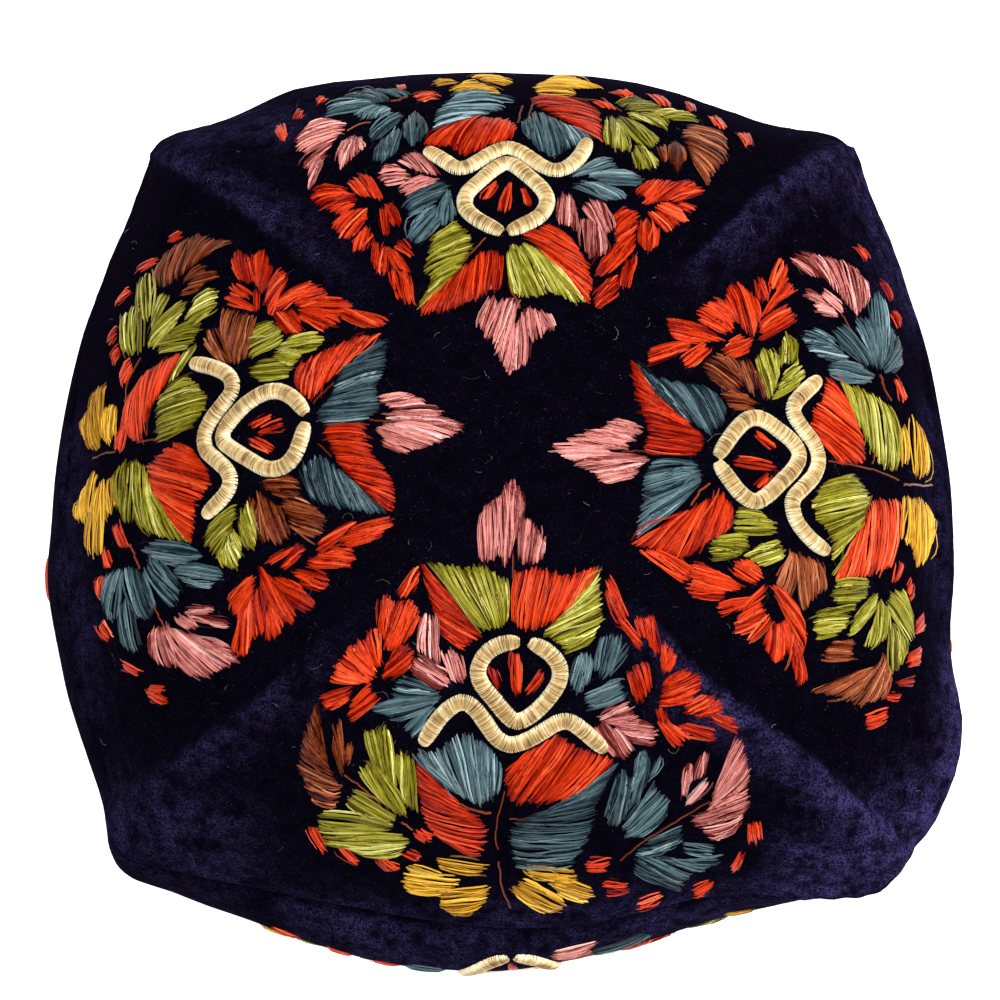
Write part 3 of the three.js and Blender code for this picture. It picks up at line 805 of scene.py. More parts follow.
# The chart. Each shape is drawn in millimetres across its field and out from the cap's axis, as
# the line that its threads start on and the line that they end on. Some are deeper or lighter in colour.
DEEPER = -0.09
LIGHTER = 0.08
PETALS = {
    "front": {
        "poppy": (
            ((-15.4, 22.6, -14.3, 27.5, -12.3, 34.5), (-8.5, 31.5, -5, 35, -8, 37.2)),
            ((-15.8, 22.6, -15.7, 24.8), (-20, 28.6, -18, 29)),
            ((-22.4, 27.8, -20.3, 27.8), (-22.8, 34.5, -21, 36)),
            ((-20, 29.3, -17, 28.6, -15.6, 31), (-22, 35.5, -21.2, 38, -18, 35.5)),
            ((-18.6, 35.6, -16.4, 37, -17.3, 40), (-21.6, 40, -22.4, 42, -19.5, 41)),
            ((-25.2, 34, -22.9, 32.6), (-23.2, 40.5, -22.2, 39.5)),
            ((-28.3, 36, -25.3, 35), (-24, 41.6, -22.8, 40.2)),
            ((-31.6, 41.6, -29.8, 38.5, -28.2, 36.4), (-25.6, 42.6, -23.8, 42.2, -23, 41.2)),
            ((-33.6, 45, -32, 46.8), (-27.2, 43, -27.8, 45)),
            ((-28.4, 46.3, -28, 48.6), (-23.5, 42.7, -22.7, 45)),
            ((0.9, 24.4, 4, 23.2, 10, 24.6, 14.9, 22.8), (0.3, 32.5, 2, 34, 5, 33.8, 9.8, 30.8)),
            ((16.4, 24.2, 15.9, 26.8), (20.6, 32.3, 18.8, 33)),
            ((18, 31, 18.3, 32.6), (22.9, 35.8, 22.9, 37.2)),
            ((21.3, 31.5, 22.6, 30.7), (22.4, 35.2, 23.7, 36)),
            ((23.2, 30.4, 24.4, 31), (24.5, 37.2, 25.5, 38.4)),
            ((26.1, 35.6, 28, 36.8, 28.6, 38.4), (26, 39, 26.3, 40.8, 27.2, 40.4)),
            ((20.2, 40.6, 21.5, 39, 23.2, 38.6), (21.6, 45, 22.8, 45.7, 24.4, 43)),
            ((29.5, 40, 33, 40.7, 33.4, 42.5, 31.5, 45), (26.5, 42, 25.9, 43.7, 26, 45, 25.2, 46)),
            ((33.8, 44.2, 35.6, 44.2, 37.2, 46.4), (30.2, 46, 29.7, 47.2, 33, 47.8)),
            ((34.8, 47, 34.4, 48), (39.4, 48.6, 40, 50.4)),
            ((29.2, 48.2, 28.2, 49.6), (36.3, 49.9, 35.4, 51.6)),
            ((25, 46, 26.2, 45.9), (26, 48.5, 27.4, 49.2)),
            ((25.2, 48, 27.6, 48.8), (29.4, 52.8, 31.5, 50.8)),
            ((-16.6, 55.4, -16.2, 60, -15.3, 64.5, -12.5, 67.3),
             (-9.8, 61.3, -6.4, 63.6, -3.6, 66, -5, 70.4)),
            ((3.5, 53.6, 8.5, 50.8, 12.5, 53, 18.3, 54.5), (-1.2, 57.5, 0, 62, 6, 62, 10.5, 61.5)),
            ((-36, 64.6, -34.8, 64.8), (-33.2, 69.9, -32.3, 69)),
            ((-30.7, 68.2, -29.6, 68.2), (-27, 71.3, -26.2, 70.8)),
            ((-24, 70.2, -22.5, 70.2), (-21.5, 73, -19.3, 71.8)),
            ((-19.4, 70, -18.5, 69), (-16, 70.8, -15.2, 70.3)),
            ((-17, 66.3, -15.5, 65.9), (-14.8, 68.2, -13, 67.2)),
            ((13, 70.8, 13.2, 72.3), (18.2, 70.3, 17.5, 72)),
            ((16.2, 73.9, 16.8, 75.8), (21.3, 73.8, 22, 75.3)),
            ((22.3, 77, 23, 78.3), (28.2, 75.2, 27.5, 76.6)),
            ((32.3, 74.5, 33.5, 76), (36.8, 72.8, 36.5, 74)),
            ((39, 71.3, 40.3, 72), (41.3, 68.3, 41.7, 69)),
            ((42.2, 64.2, 43.6, 63.8), (42.7, 67.7, 44.8, 67)),
            ((0.4, 37.3, 1.4, 37.3), (0.8, 45, 1.7, 45)),
            ((-3.7, 40, -2.9, 40), (-2.3, 43.8, -1.7, 43.6)),
            ((5.2, 40.1, 6.1, 40.6), (2.3, 44.2, 3, 44.8)),
        ),
        "leaf": (
            ((-13.9, 22.3, -9, 23.2, -5.5, 22.8, -1, 25), (-4.7, 34.2, -2.5, 33.8, -0.8, 33)),
            ((15.4, 23.2, 15.5, 28, 16, 32, 14.5, 35), (10, 30.8, 5.5, 34.3, 7, 35.3, 9.3, 37.8)),
            ((-25, 49.8, -23.3, 49.4), (-23.4, 56.5, -21.3, 57.7)),
            ((-22.4, 48.9, -21.2, 49.2), (-21.3, 57.5, -19.7, 60.2)),
            ((-20.1, 53.7, -18.5, 53.2, -17.2, 54), (-18.6, 60, -18, 62.7, -16.2, 63.8)),
            ((-26.8, 56.5, -26, 55.7, -24.5, 54.3, -23, 56),
             (-21.5, 62, -19.5, 64, -18.3, 64.2, -17.9, 63)),
            ((-29, 61.5, -28, 59.4), (-21.5, 65.6, -18.8, 64.2)),
            ((-34, 62.7, -34.3, 65.5, -33, 67.8), (-20, 65.6, -23, 66.3, -22, 67.5)),
            ((-32, 66, -29, 68.7, -26, 70), (-18.2, 66.8, -17.6, 67.7, -19, 69.6)),
        ),
        "slate": (
            ((-19.3, 41.4, -21.3, 44.9), (-13, 43.8, -12, 44.8)),
            ((-22.5, 45.7, -24.6, 46.8, -20, 48.8), (-12.5, 44.6, -11.8, 45, -13, 46)),
            ((-18.5, 50.3, -17, 51.5), (-13.5, 46, -12.6, 46.8)),
            ((15.6, 34.6, 17, 33.8, 18.9, 34.7), (14.3, 40.5, 15.2, 42, 17, 40.8)),
            ((20.1, 35.9, 20.5, 36.4), (15.8, 42, 16.2, 42.2)),
            ((11.6, 37.8, 12.6, 37.3, 14, 38), (10.2, 42.5, 11.2, 44.8, 13.5, 42.5)),
            ((19.5, 41.8, 20.4, 44.2), (12, 44.8, 13.5, 47)),
            ((-17, 53.8, -12.5, 53.2, -10, 51.5, -7.5, 50.5, -4, 52.5, -1.5, 55.5),
             (-10, 60.2, -7, 61.5, -5.5, 62.6, -4.5, 62, -2.2, 60.5), LIGHTER),
            ((19, 55.2, 15.3, 61.5, 14.8, 65.5, 11.8, 71.5),
             (9, 62.5, 0.6, 64.9, -0.3, 67.5, 0.5, 71.8), DEEPER),
            ((18.8, 56.8, 20, 55.8, 20.8, 58), (16.5, 64.5, 18.5, 66, 20.5, 63)),
            ((22.3, 53.5, 23.5, 52.8, 24.3, 54.5), (21.4, 59, 21.2, 62.5, 23, 60)),
            ((26.1, 53.7, 26.4, 54.2), (24.1, 58, 24.7, 57)),
            ((25.5, 58.6, 27, 59.5, 28.3, 60.5, 27.8, 63), (20, 65, 19.6, 66, 20.3, 67, 22.5, 67)),
            ((31, 64.7, 30.8, 66.8, 29, 68), (24, 67.5, 22, 69.5, 23, 70.2)),
            ((37.3, 68.2, 36, 69.7), (29.5, 67.5, 31, 69)),
            ((38.3, 69.2, 37.5, 70.5, 33.5, 71.8), (30, 70.3, 28, 69.8, 27, 69.5)),
            ((34, 71.8, 32, 73.5, 31.5, 75.2), (26, 69.6, 22, 70.3, 21.8, 72)),
        ),
        "rose": (
            ((-5.2, 14, -4, 12.2, -2.5, 11), (-5.3, 22.8, -4.2, 22.8, -2.5, 22.3)),
            ((-2, 10.5, -0.7, 8.4, 0.3, 7.8), (-1.8, 22.5, -1, 23.8, -0.2, 21.5)),
            ((0.3, 7.8, 1.3, 10, 2, 12), (0, 19, 0.6, 19.2, 0.9, 17.5)),
            ((2, 14, 3.8, 15.5, 4.6, 17), (1.3, 22.5, 2.2, 23.4, 4, 23)),
            ((5, 17.5, 5.8, 18.5), (4.2, 23, 5.2, 22)),
            ((-15.1, 31, -13.3, 31.2), (-15.8, 38, -12.3, 39.8)),
            ((-12.2, 36.8, -9, 37.5), (-9.8, 43, -7.6, 42.8)),
            ((-17.9, 40.3, -16.5, 38.3, -15, 38.5), (-11.8, 43.7, -10.3, 43.4, -10.6, 41.2)),
            ((20.5, 45, 21.5, 47, 23, 48.5), (15.5, 47.8, 15, 48.6, 17, 49), DEEPER),
            ((24.8, 49, 25.8, 50.5, 25.2, 52.4), (17.2, 48.7, 19.5, 50.3, 20, 51.5), DEEPER),
            ((14, 49.3, 15.5, 48.5, 18, 49.5), (18.5, 54.6, 20, 55, 21.5, 53.3), DEEPER),
            ((30.7, 54.8, 31.6, 55), (29.9, 61.2, 31.5, 58.5)),
            ((33.2, 53.2, 34.3, 53.2), (32, 58, 33.4, 57.5)),
            ((34.9, 56.8, 35, 58), (30.3, 61.5, 31, 61.9)),
            ((39.3, 50.5, 40.3, 50.8, 41.5, 55, 42, 57.5), (36, 59, 35.3, 60.5, 35, 61.8, 36.5, 61.5)),
            ((41.8, 58.5, 42.4, 61, 40.5, 65), (34.5, 62.5, 31.6, 64.2, 35.5, 66.8)),
        ),
        "russet": (
            ((-33.5, 45.5, -36, 50.5, -37.4, 55.5, -35, 61),
             (-32.6, 52.5, -31, 57, -29.5, 59.3, -30, 62)),
            ((-29.6, 47.5, -30.9, 51), (-28.9, 54.5, -29.3, 57.6)),
            ((-28.2, 52.2, -27.4, 52), (-28.6, 54.5, -28.2, 55.7)),
        ),
        "saffron": (
            ((-13, 70.4, -13, 71.8), (-3.3, 71.6, -4.5, 73)),
            ((-18.6, 72, -18, 71.4), (-12, 73.4, -11, 73.1)),
            ((-19, 72.6, -19.3, 74.5, -18.5, 75.3), (-8.5, 73.7, -8.8, 74.8, -12, 76)),
            ((-13.5, 76, -12.5, 77.8, -10.5, 79.2), (-3.5, 74.9, -3.3, 76.5, -6, 78.8)),
            ((2, 71.8, 3, 73.3), (12, 72.2, 13.3, 74.5)),
            ((6.5, 73.8, 8, 75.5), (15.8, 75.5, 14.5, 77.3)),
            ((2, 73.7, 0, 74.8, 1.5, 76.3), (10, 77.3, 10.8, 78.2, 7.5, 79.3)),
        ),
    },
    "right": {
        "poppy": (
            ((-19.3, 20.8, -20.9, 26, -21.6, 29.8, -18.5, 33.5, -16.3, 37.5),
             (-13.6, 29.3, -12.2, 32, -10.5, 34, -9.2, 36.8, -12, 38.3)),
            ((-20, 21.3, -19.9, 25), (-26, 30, -23.4, 32)),
            ((-27.6, 30.5, -26, 29.3), (-28, 37, -26.3, 37.5)),
            ((-25.6, 31, -23, 30.5, -21.7, 31.3), (-26.6, 37.5, -25.6, 40.7, -24, 37)),
            ((-23, 38, -21.5, 38, -20.8, 40), (-25.2, 42.5, -24.3, 43.8, -22.5, 43.5)),
            ((-30.8, 35.3, -29.1, 35.2), (-28.2, 41.5, -27.2, 42)),
            ((-30.5, 39, -29.8, 38.8), (-25.3, 45.2, -24.6, 44.6)),
            ((-34, 38.6, -32.5, 38, -31, 39), (-31, 44.5, -29, 44.5, -28, 43.5)),
            ((-35.5, 40.8, -35, 40.7), (-31, 45.3, -29.8, 45)),
            ((-35.5, 43.8, -38.3, 45.5, -37.5, 47.5), (-32.5, 44.8, -31, 46, -32, 47.5)),
            ((-36, 48.3, -41.8, 50, -41, 51.5), (-31, 47, -30.3, 48, -34, 50)),
            ((-36.3, 51.3, -34.5, 51.8, -30, 51), (-26.5, 46, -24.6, 45.4, -25, 46.8)),
            ((-2.3, 22.2, 0, 23.3, 3, 22.7, 7.5, 21.3, 13.2, 20.5),
             (-3, 32.5, -1.5, 33.5, 0, 33.8, 2.5, 30.5, 5.5, 25.5)),
            ((12.8, 22.8, 14.8, 22.8), (16.3, 31.5, 17.8, 32.5)),
            ((13.5, 28.8, 12.2, 30.5), (17.8, 34.3, 16.5, 35.2)),
            ((18.2, 27.8, 20, 27.2, 21.5, 26.8), (17.5, 33, 18.3, 37.5, 19.8, 34)),
            ((21.7, 32.5, 23.3, 32.2, 25, 34, 25.8, 36), (19.3, 37.8, 20, 38.6, 21, 39.2, 22.5, 39.8)),
            ((26, 37.5, 28.5, 38, 29.8, 40, 27.5, 43), (22.5, 39.5, 20.5, 41, 19.5, 42.7, 23, 43.8)),
            ((15, 38.5, 16, 36.8, 17.5, 37.5), (17.3, 42.5, 18.8, 42.7, 19.8, 41)),
            ((25.8, 43.8, 27, 45.8), (31, 43.2, 31.5, 45)),
            ((29.5, 45.8, 28.5, 47), (35.9, 48.2, 34.5, 49.7)),
            ((22.8, 43.8, 25.5, 45.2), (32.5, 49.8, 30, 50.8)),
            ((18.8, 43.3, 21.5, 43.5), (24.5, 51.3, 26.8, 49.5)),
            ((-22.9, 56.8, -22, 61, -20.3, 65, -18.5, 68), (-13.8, 61.5, -6.2, 65, -5.5, 67.5, -5, 70.3)),
            ((1.5, 55.3, 4.5, 52.8, 7, 52.9, 10.5, 55, 14.4, 56),
             (-1.8, 58.5, -1.2, 61.5, 0, 63.5, 4, 63.2, 9.5, 60.5)),
            ((-48, 62.5, -46, 62), (-46, 67, -44, 67.5)),
            ((-42.3, 66, -41.5, 66.3), (-41.8, 70, -40.9, 69.8)),
            ((-40, 68.5, -39.2, 68.7), (-38.8, 72.7, -37.8, 72.3)),
            ((-36.3, 70.8, -34.5, 70.6), (-34.5, 73.8, -31.3, 74.4)),
            ((-29.8, 72.8, -27.8, 73), (-27, 75.2, -24.2, 75.2)),
            ((-23.5, 72.2, -21.5, 71.3), (-21, 73, -19, 72.4)),
            ((-21.5, 68.3, -20.5, 69.5), (-16.5, 69.5, -16, 71.2)),
            ((13.3, 71.5, 14.3, 72.8), (17.5, 69.8, 18.7, 70.5)),
            ((28.4, 71.3, 30, 72.5), (30.7, 69.8, 32.2, 70.8)),
            ((33, 69.8, 34.7, 71), (37.3, 67.5, 37.5, 69)),
            ((39.3, 65, 41, 66.2), (42, 62.3, 42.8, 64)),
            ((-4, 38, -3, 38), (-4.4, 46.7, -3.5, 46.7)),
            ((-8.6, 42.6, -8, 42.2), (-5.6, 45.3, -5, 44.8)),
            ((1.5, 42.1, 2.3, 42.7), (-1, 46, -0.3, 46.6)),
        ),
        "leaf": (
            ((-21.2, 34.3, -20, 34.2, -18.5, 34, -17.2, 35.5),
             (-20.5, 39, -18.8, 41.6, -17.5, 41.2, -16.5, 41.7)),
            ((-16.3, 38.3, -12.1, 38.8), (-15.6, 46.5, -14.7, 46.5, -12.5, 44.5)),
            ((-22, 43, -20.5, 40, -19.3, 42), (-19.3, 48.2, -18, 47.5, -16.8, 46.8)),
            ((16, 42.9, 17.8, 44, 17.5, 46.5), (8.5, 45, 8, 45.3, 12, 47)),
            ((19, 47.8, 21.5, 48.5, 20, 50.5), (14.5, 47.3, 15, 48.5, 16, 50.3)),
            ((8, 45.3, 9.5, 46.3, 13, 48), (12.5, 51.5, 14, 52.2, 16.5, 50.8)),
            ((-19.4, 56.3, -16.5, 56.5, -14, 55.2, -12.3, 53.2, -9.5, 52.3, -5.2, 55.5),
             (-12, 61.3, -10.5, 63, -8, 64, -6.5, 64.7, -5, 63.5, -2.8, 61.5)),
            ((-22.3, 55.9, -21.8, 57), (-17, 60.3, -16.3, 59.5)),
            ((14.2, 58.8, 14, 61.5, 13.3, 65.5, 12.5, 69), (7, 62, 0.3, 66, -0.8, 69, 1.5, 70.5)),
            ((-33.4, 53.2, -31.7, 52.6, -30.6, 52.5), (-32.3, 57.5, -30.3, 59.8, -28.7, 60)),
            ((-29.9, 52.6, -28.8, 52.8), (-27.3, 61, -26.3, 61.9)),
            ((-26.8, 56.5, -25.2, 55.8, -24.8, 56.5, -23.3, 56.7),
             (-25.3, 62.8, -24, 63.7, -22.5, 63.9, -21.4, 64.3)),
            ((-32.8, 59, -31.5, 59.5, -29.5, 60.3), (-27, 64.5, -23.5, 65.5, -24.5, 63.7)),
            ((-34.5, 62.4, -33, 65.5, -31.5, 66.8), (-26.5, 65.2, -24.3, 65.8, -26, 67.2)),
            ((-38.5, 67.3, -37.5, 69, -34, 70.5), (-29, 67.2, -28.3, 68, -30.5, 70)),
            ((-31.8, 71.8, -30, 72.8, -26, 72.5), (-25.5, 66.8, -22.8, 67.7, -21.5, 70.5)),
        ),
        "slate": (
            ((-18.3, 21, -14, 22, -10.5, 22.5, -7.5, 22.7, -5, 23.5),
             (-8.5, 32, -7.5, 33.2, -6.5, 32.5, -4.5, 32.3)),
            ((13.3, 21.3, 10.5, 24.3, 10, 29, 9.8, 33, 8.5, 35),
             (4, 28.3, 2.3, 32, 0.5, 34.5, 2.3, 36.3, 4.7, 37.7)),
            ((17.6, 54.5, 19, 52, 20.8, 51), (18.3, 60, 19, 61, 20.3, 58)),
            ((21.6, 51.5, 23, 54.5), (20.3, 58.5, 21.5, 57.5)),
            ((14.6, 57, 16, 56, 17.5, 57.5), (15, 64.5, 17, 66.2, 17.8, 63)),
            ((21.5, 58, 23.5, 57.5, 26, 59.5), (18.3, 63, 18, 65, 18.8, 66)),
            ((25.5, 62, 27.5, 62.5, 28.5, 65.5), (20.5, 64.8, 18, 66.5, 21, 67)),
            ((33, 66, 35, 67.2, 33.5, 68.8), (21, 66.8, 18, 67, 21, 68.3)),
            ((29, 69.3, 26.5, 72, 22, 72.3), (20, 67.8, 18, 67.5, 18.7, 69)),
        ),
        "rose": (
            ((-8.8, 16, -8, 14.3, -6.8, 14), (-7.3, 21.5, -6.2, 22.3, -5.8, 21.5)),
            ((-7.2, 13.5, -6, 11.5, -5.2, 9.5), (-5, 23.5, -4.2, 24, -3.6, 22.5)),
            ((-4.7, 9, -3.5, 7, -2.3, 6.3), (-4.3, 17.5, -3.8, 18.3, -3, 17)),
            ((-2.3, 10, -1.5, 9.4, -0.8, 10), (-2.8, 19, -2.4, 20.6, -1.6, 19.5)),
            ((-0.6, 12.5, 0, 11.7, 0.4, 13), (-1.5, 20, -1.3, 21.7, -0.6, 21)),
            ((1, 15, 2.2, 16.5, 2.6, 17.8), (-0.5, 21.5, 0.3, 22.7, 1.5, 21.8)),
            ((26.3, 55, 27.5, 53.8, 28.3, 54.8), (26.3, 58.5, 26.8, 59, 28, 57.5)),
            ((28.8, 52.2, 30.2, 52.5), (28, 57, 29.3, 56)),
            ((30.2, 55.5, 31.6, 55.8), (27, 60.2, 28.5, 60)),
            ((36, 49.5, 37.3, 51, 38, 55, 38.8, 58.5), (33, 54.5, 33.5, 56.5, 30.5, 59.5, 28.8, 60.8)),
            ((38.8, 58.8, 38.3, 62, 36.5, 64.5), (28.5, 61, 27.5, 62.8, 31, 65)),
        ),
        "russet": (
            ((-27.3, 47.8, -24.8, 45.8), (-18.5, 49.8, -18.3, 48.9)),
            ((-29.5, 51.3, -27.5, 52.2, -26, 53.7, -25, 55.3),
             (-18.3, 49.8, -19, 51.3, -19.2, 52.5, -20, 54.2)),
            ((11, 34, 14, 33, 15.5, 35.5, 15.8, 37), (8.8, 38.5, 9.2, 40, 10.5, 41, 12, 40.8)),
            ((5.8, 38, 8.5, 36.3, 9, 38.5), (6.3, 42.5, 7, 43, 8, 41.5)),
            ((15.3, 39.8, 15.3, 41.5), (8.4, 42, 10.5, 43.5)),
            ((14.3, 42.3, 13.8, 43), (7.3, 44.2, 7.8, 44.9)),
            ((-42.7, 52, -43, 58, -44.3, 60.8, -42.5, 66),
             (-38, 63, -36.5, 65.5, -34.5, 66.2, -37.5, 67.3)),
            ((-36.9, 54, -35.3, 54.8, -33.6, 56.5), (-36.2, 60.8, -35.3, 60.5, -33.4, 60.3)),
        ),
        "saffron": (
            ((-12.9, 70.2, -13.5, 72.3), (-3.2, 71.5, -3.2, 73)),
            ((-14, 72.7, -16.7, 73.8, -15, 76, -9, 77.5), (-3.3, 73.5, -2.6, 75.3, -3.3, 77.3, -5.5, 78)),
            ((1, 71, 2.5, 72.8), (9.3, 70.8, 10, 72)),
            ((0.3, 74, 0.5, 75.5, 3, 77.3), (12.5, 73.5, 12.3, 74.8, 9, 76.8)),
        ),
    },
    "back": {
        "poppy": (
            ((-13.8, 23.6, -14.3, 27.5, -13.5, 31, -11.3, 35),
             (-6.3, 33.5, -4.2, 35, -1.7, 37, -5.5, 39.2)),
            ((-15, 22.6, -14, 23.5, -14.5, 25.5), (-18.8, 26.5, -18.8, 29.5, -17.5, 28.8)),
            ((-20.3, 26.5, -18.7, 27), (-21.7, 34.3, -19.7, 31.5)),
            ((-16.5, 29.3, -14.4, 28.8, -15.2, 31.3), (-21.8, 35.5, -22, 38.5, -18.3, 34.5)),
            ((-18.2, 34.8, -17.8, 38, -17.8, 41), (-22.3, 39.5, -22.3, 42.5, -20, 43.2)),
            ((-25.3, 35, -23.8, 33.8, -22.7, 34.5), (-25.8, 39.5, -24.3, 41.2, -22.7, 41)),
            ((-29.6, 39.5, -27.8, 38), (-26, 43, -24, 42.6)),
            ((-29.8, 40.2, -31.3, 40.8, -31.2, 42.7), (-25.8, 43.2, -25.2, 44, -27, 45)),
            ((-33.2, 44, -32, 42.7), (-30, 44.9, -29.5, 44.2)),
            ((-34.8, 47.9, -33, 49), (-28.5, 44.9, -26, 45.2)),
            ((-33, 49.6, -31, 50.3, -28, 48.7), (-27.5, 45.5, -24, 44, -22.7, 44.2)),
            ((-28.3, 50, -25.5, 50.2, -24, 49.3), (-24.5, 44.7, -22.5, 46, -22, 46.5)),
            ((2.4, 26, 5, 24.8, 8.5, 22.9, 11.5, 21.8, 15.8, 21.2),
             (2, 33, 3.5, 34, 5.7, 33.5, 8, 31, 11.5, 27.3)),
            ((17.2, 23, 19.8, 23.7), (18.8, 30.5, 21.5, 31)),
            ((17.8, 29, 20.5, 30), (21.5, 34.8, 22.3, 35.2)),
            ((17.9, 32.3, 17.3, 33.6), (21, 35.5, 19.9, 36.5)),
            ((22.3, 29.3, 23.5, 29), (22, 35.3, 23, 35)),
            ((23.6, 29.2, 24.8, 30.5), (23.6, 35.5, 24.5, 37.3)),
            ((26, 34.3, 27.8, 33.9, 28.5, 35), (25, 38, 25.8, 39.6, 27, 38)),
            ((28.5, 37, 30.5, 36.5, 32.3, 39.5), (25.8, 41, 25.8, 43.2, 28.5, 43)),
            ((31, 41.8, 34, 43.5, 36.8, 46, 34.5, 48.5), (28.3, 43.8, 28, 45, 28.3, 46, 30, 47.3)),
            ((19.5, 39.2, 20.8, 38.5), (21.8, 44.3, 22.7, 44)),
            ((21.8, 37, 22.7, 36.5), (22.8, 44, 23.7, 43.5)),
            ((23, 44.3, 25, 45, 27, 45.8), (26, 50.5, 28, 51, 29.8, 48.8)),
            ((-16.6, 58, -16.3, 62.5, -15.8, 66, -13.5, 68),
             (-10.5, 62.3, -5, 66.3, -3.2, 68.8, -4, 70.5)),
            ((0.3, 58.2, 5, 56.2, 8.8, 53.6, 11.5, 56.3, 16.5, 56.3),
             (-0.5, 61.5, 1.2, 63.5, 4, 64, 6.3, 64.5, 9.5, 62.7)),
            ((-44, 60.5, -43, 59.5), (-43.5, 65, -41, 64)),
            ((-39.5, 64.5, -38.3, 64.3), (-38.3, 69, -36, 68.8)),
            ((-34, 69, -32.7, 68.6), (-33.5, 72.7, -32.2, 72.5)),
            ((-29.7, 69.5, -28, 69.3), (-27.5, 74, -25, 73.8)),
            ((-22.5, 72, -20.5, 71.3), (-21, 73.8, -17.8, 73)),
            ((-19, 67, -17.5, 67.2), (-16.5, 70, -14.5, 69.6)),
            ((13, 70, 14.5, 71.8), (17, 68.8, 19, 71)),
            ((20.2, 73, 21.5, 72.8), (20.5, 75.3, 22, 75)),
            ((34.7, 72.5, 35.8, 73.3), (36.2, 70.5, 37.2, 71.5)),
            ((38.8, 68.5, 39.8, 70.3), (39.5, 66.3, 40.8, 67.5)),
            ((41.3, 61, 42, 60), (43, 66.5, 44, 65)),
            ((1.3, 41, 2.2, 41), (0.2, 48.3, 1.1, 48.3)),
            ((-3.6, 42.6, -2.9, 42.4), (-1.9, 47.3, -1.2, 47)),
            ((5, 43.8, 5.8, 44.3), (2.3, 48, 3, 48.5)),
        ),
        "leaf": (
            ((-12.8, 23.8, -11.4, 23.5, -9.8, 24.1, -7, 25.4, -4.5, 24.5, -2.5, 24.2, -0.4, 24.8),
             (-4.5, 34, -2.3, 35.3, -1, 34.8, 0, 35.2, 0.9, 33.5)),
            ((16.7, 22.4, 14.3, 27.5, 15.5, 29.5, 15, 33.5, 14, 36.5),
             (11.8, 27.3, 8.5, 31, 6.9, 34.8, 7.5, 37, 9.6, 39.6)),
            ((-26.8, 53.5, -26, 52.5, -24.3, 51.8, -22.2, 51.8),
             (-24, 56.5, -23, 58, -22.2, 58, -21.8, 56)),
            ((-21, 56, -19.8, 55.8, -17, 57), (-20, 62, -18.5, 65.3, -16.9, 64.6)),
            ((-27, 58.5, -25, 57.2, -24, 57), (-22, 64.3, -19.5, 65.5, -18.5, 65)),
            ((-28.9, 64.5, -28.3, 62.2, -26.5, 63.3), (-24, 66.5, -21, 66.5, -20.5, 65.8)),
            ((-34.7, 65.8, -33.8, 67.7, -30, 68.5), (-28.5, 65.5, -25, 66, -26, 67.3)),
            ((-27.8, 68.2, -26.3, 70.5, -23.5, 71.3), (-21.5, 66.8, -19.5, 68.5, -19.3, 69.8)),
        ),
        "slate": (
            ((-20.8, 45.3, -19.3, 45, -17.5, 44.2), (-15, 48.8, -12, 48.5, -10, 47.6)),
            ((-23.2, 48.3, -24, 49.7, -21.5, 51.5), (-15, 48.8, -13, 49.8, -14, 50.5)),
            ((-19, 52.5, -18, 54.3, -16, 54), (-12, 49.7, -10, 49.4, -12.5, 51)),
            ((16.5, 35.5, 17.5, 34.7, 18.8, 36.3, 18, 39), (12.5, 40.3, 13.3, 43, 14, 43.5, 15, 42.5)),
            ((10.2, 40, 12, 38.6, 13.8, 39), (11.2, 44.5, 11.2, 47, 12.5, 45)),
            ((18.5, 41.2, 19.2, 42.5, 19.5, 44.3), (13, 44.5, 11.3, 47.5, 12.5, 48.7)),
            ((-14.8, 58.7, -11.3, 56.8, -9.3, 55.2, -7.3, 53.3, -4.5, 55.5, -2.7, 58.5),
             (-11, 61.3, -7.5, 63.7, -5, 65.7, -4, 65.5, -3, 64.5, -2, 62.5)),
            ((14.8, 60.3, 14.2, 64, 13.8, 66.5, 11, 70.5), (8, 63.7, 1.8, 66, 1.5, 68, 4.5, 71.8)),
            ((6, 69.5, 6, 70.5), (-0.8, 68.3, 0, 69.3)),
            ((15.7, 59.5, 18, 56.3, 19.5, 58.5), (16.3, 64, 18, 66.5, 19.8, 62.5)),
            ((21.5, 54.5, 23.5, 53.2, 25, 53.2), (20.5, 60.5, 20.7, 62, 24.3, 58)),
            ((24.3, 58.8, 26.2, 58.5, 26.3, 60.5), (20.8, 63.5, 19.5, 65.3, 21.5, 66)),
            ((23.5, 64.5, 27, 64.3, 30, 66), (22.5, 66.5, 23.5, 67.8, 25, 68.5)),
            ((35, 66.3, 35, 68.5, 34.3, 70), (27, 68, 24.5, 69, 27, 70)),
            ((34, 70.8, 31, 73, 27.5, 74.7), (25.5, 69.3, 23.5, 69, 23, 69.5)),
            ((26, 74.3, 23, 73.5), (20.5, 70, 19, 70.8)),
        ),
        "rose": (
            ((-7.9, 18.6, -7, 18.2), (-6, 22, -4.8, 22.3)),
            ((-6, 18.3, -4.9, 16.5, -3.6, 15.8), (-5, 21.5, -3.5, 23.1, -2.5, 23.3)),
            ((-2.8, 12, -1.6, 11.2, -0.3, 10.2, 0.4, 9.6),
             (-2.5, 23.2, -1.5, 21.6, -1, 20.5, -0.2, 19.5)),
            ((0.5, 9.6, 1.8, 12, 3, 14.2, 3.4, 16), (-0.2, 19.5, -0.7, 24.3, 0, 24.7, 1, 24.5)),
            ((3.6, 16.3, 5, 16.2, 5.2, 17), (0.9, 24.4, 1.5, 25, 2, 24.3)),
            ((5, 18, 5.5, 18.1, 6.1, 19.2), (2.6, 25, 3.3, 25.3, 4.2, 23.5)),
            ((-16.9, 33.5, -15.3, 33, -13.8, 32.3, -12.8, 33),
             (-16, 38, -14.5, 40.8, -13, 41, -12.3, 41.5), DEEPER),
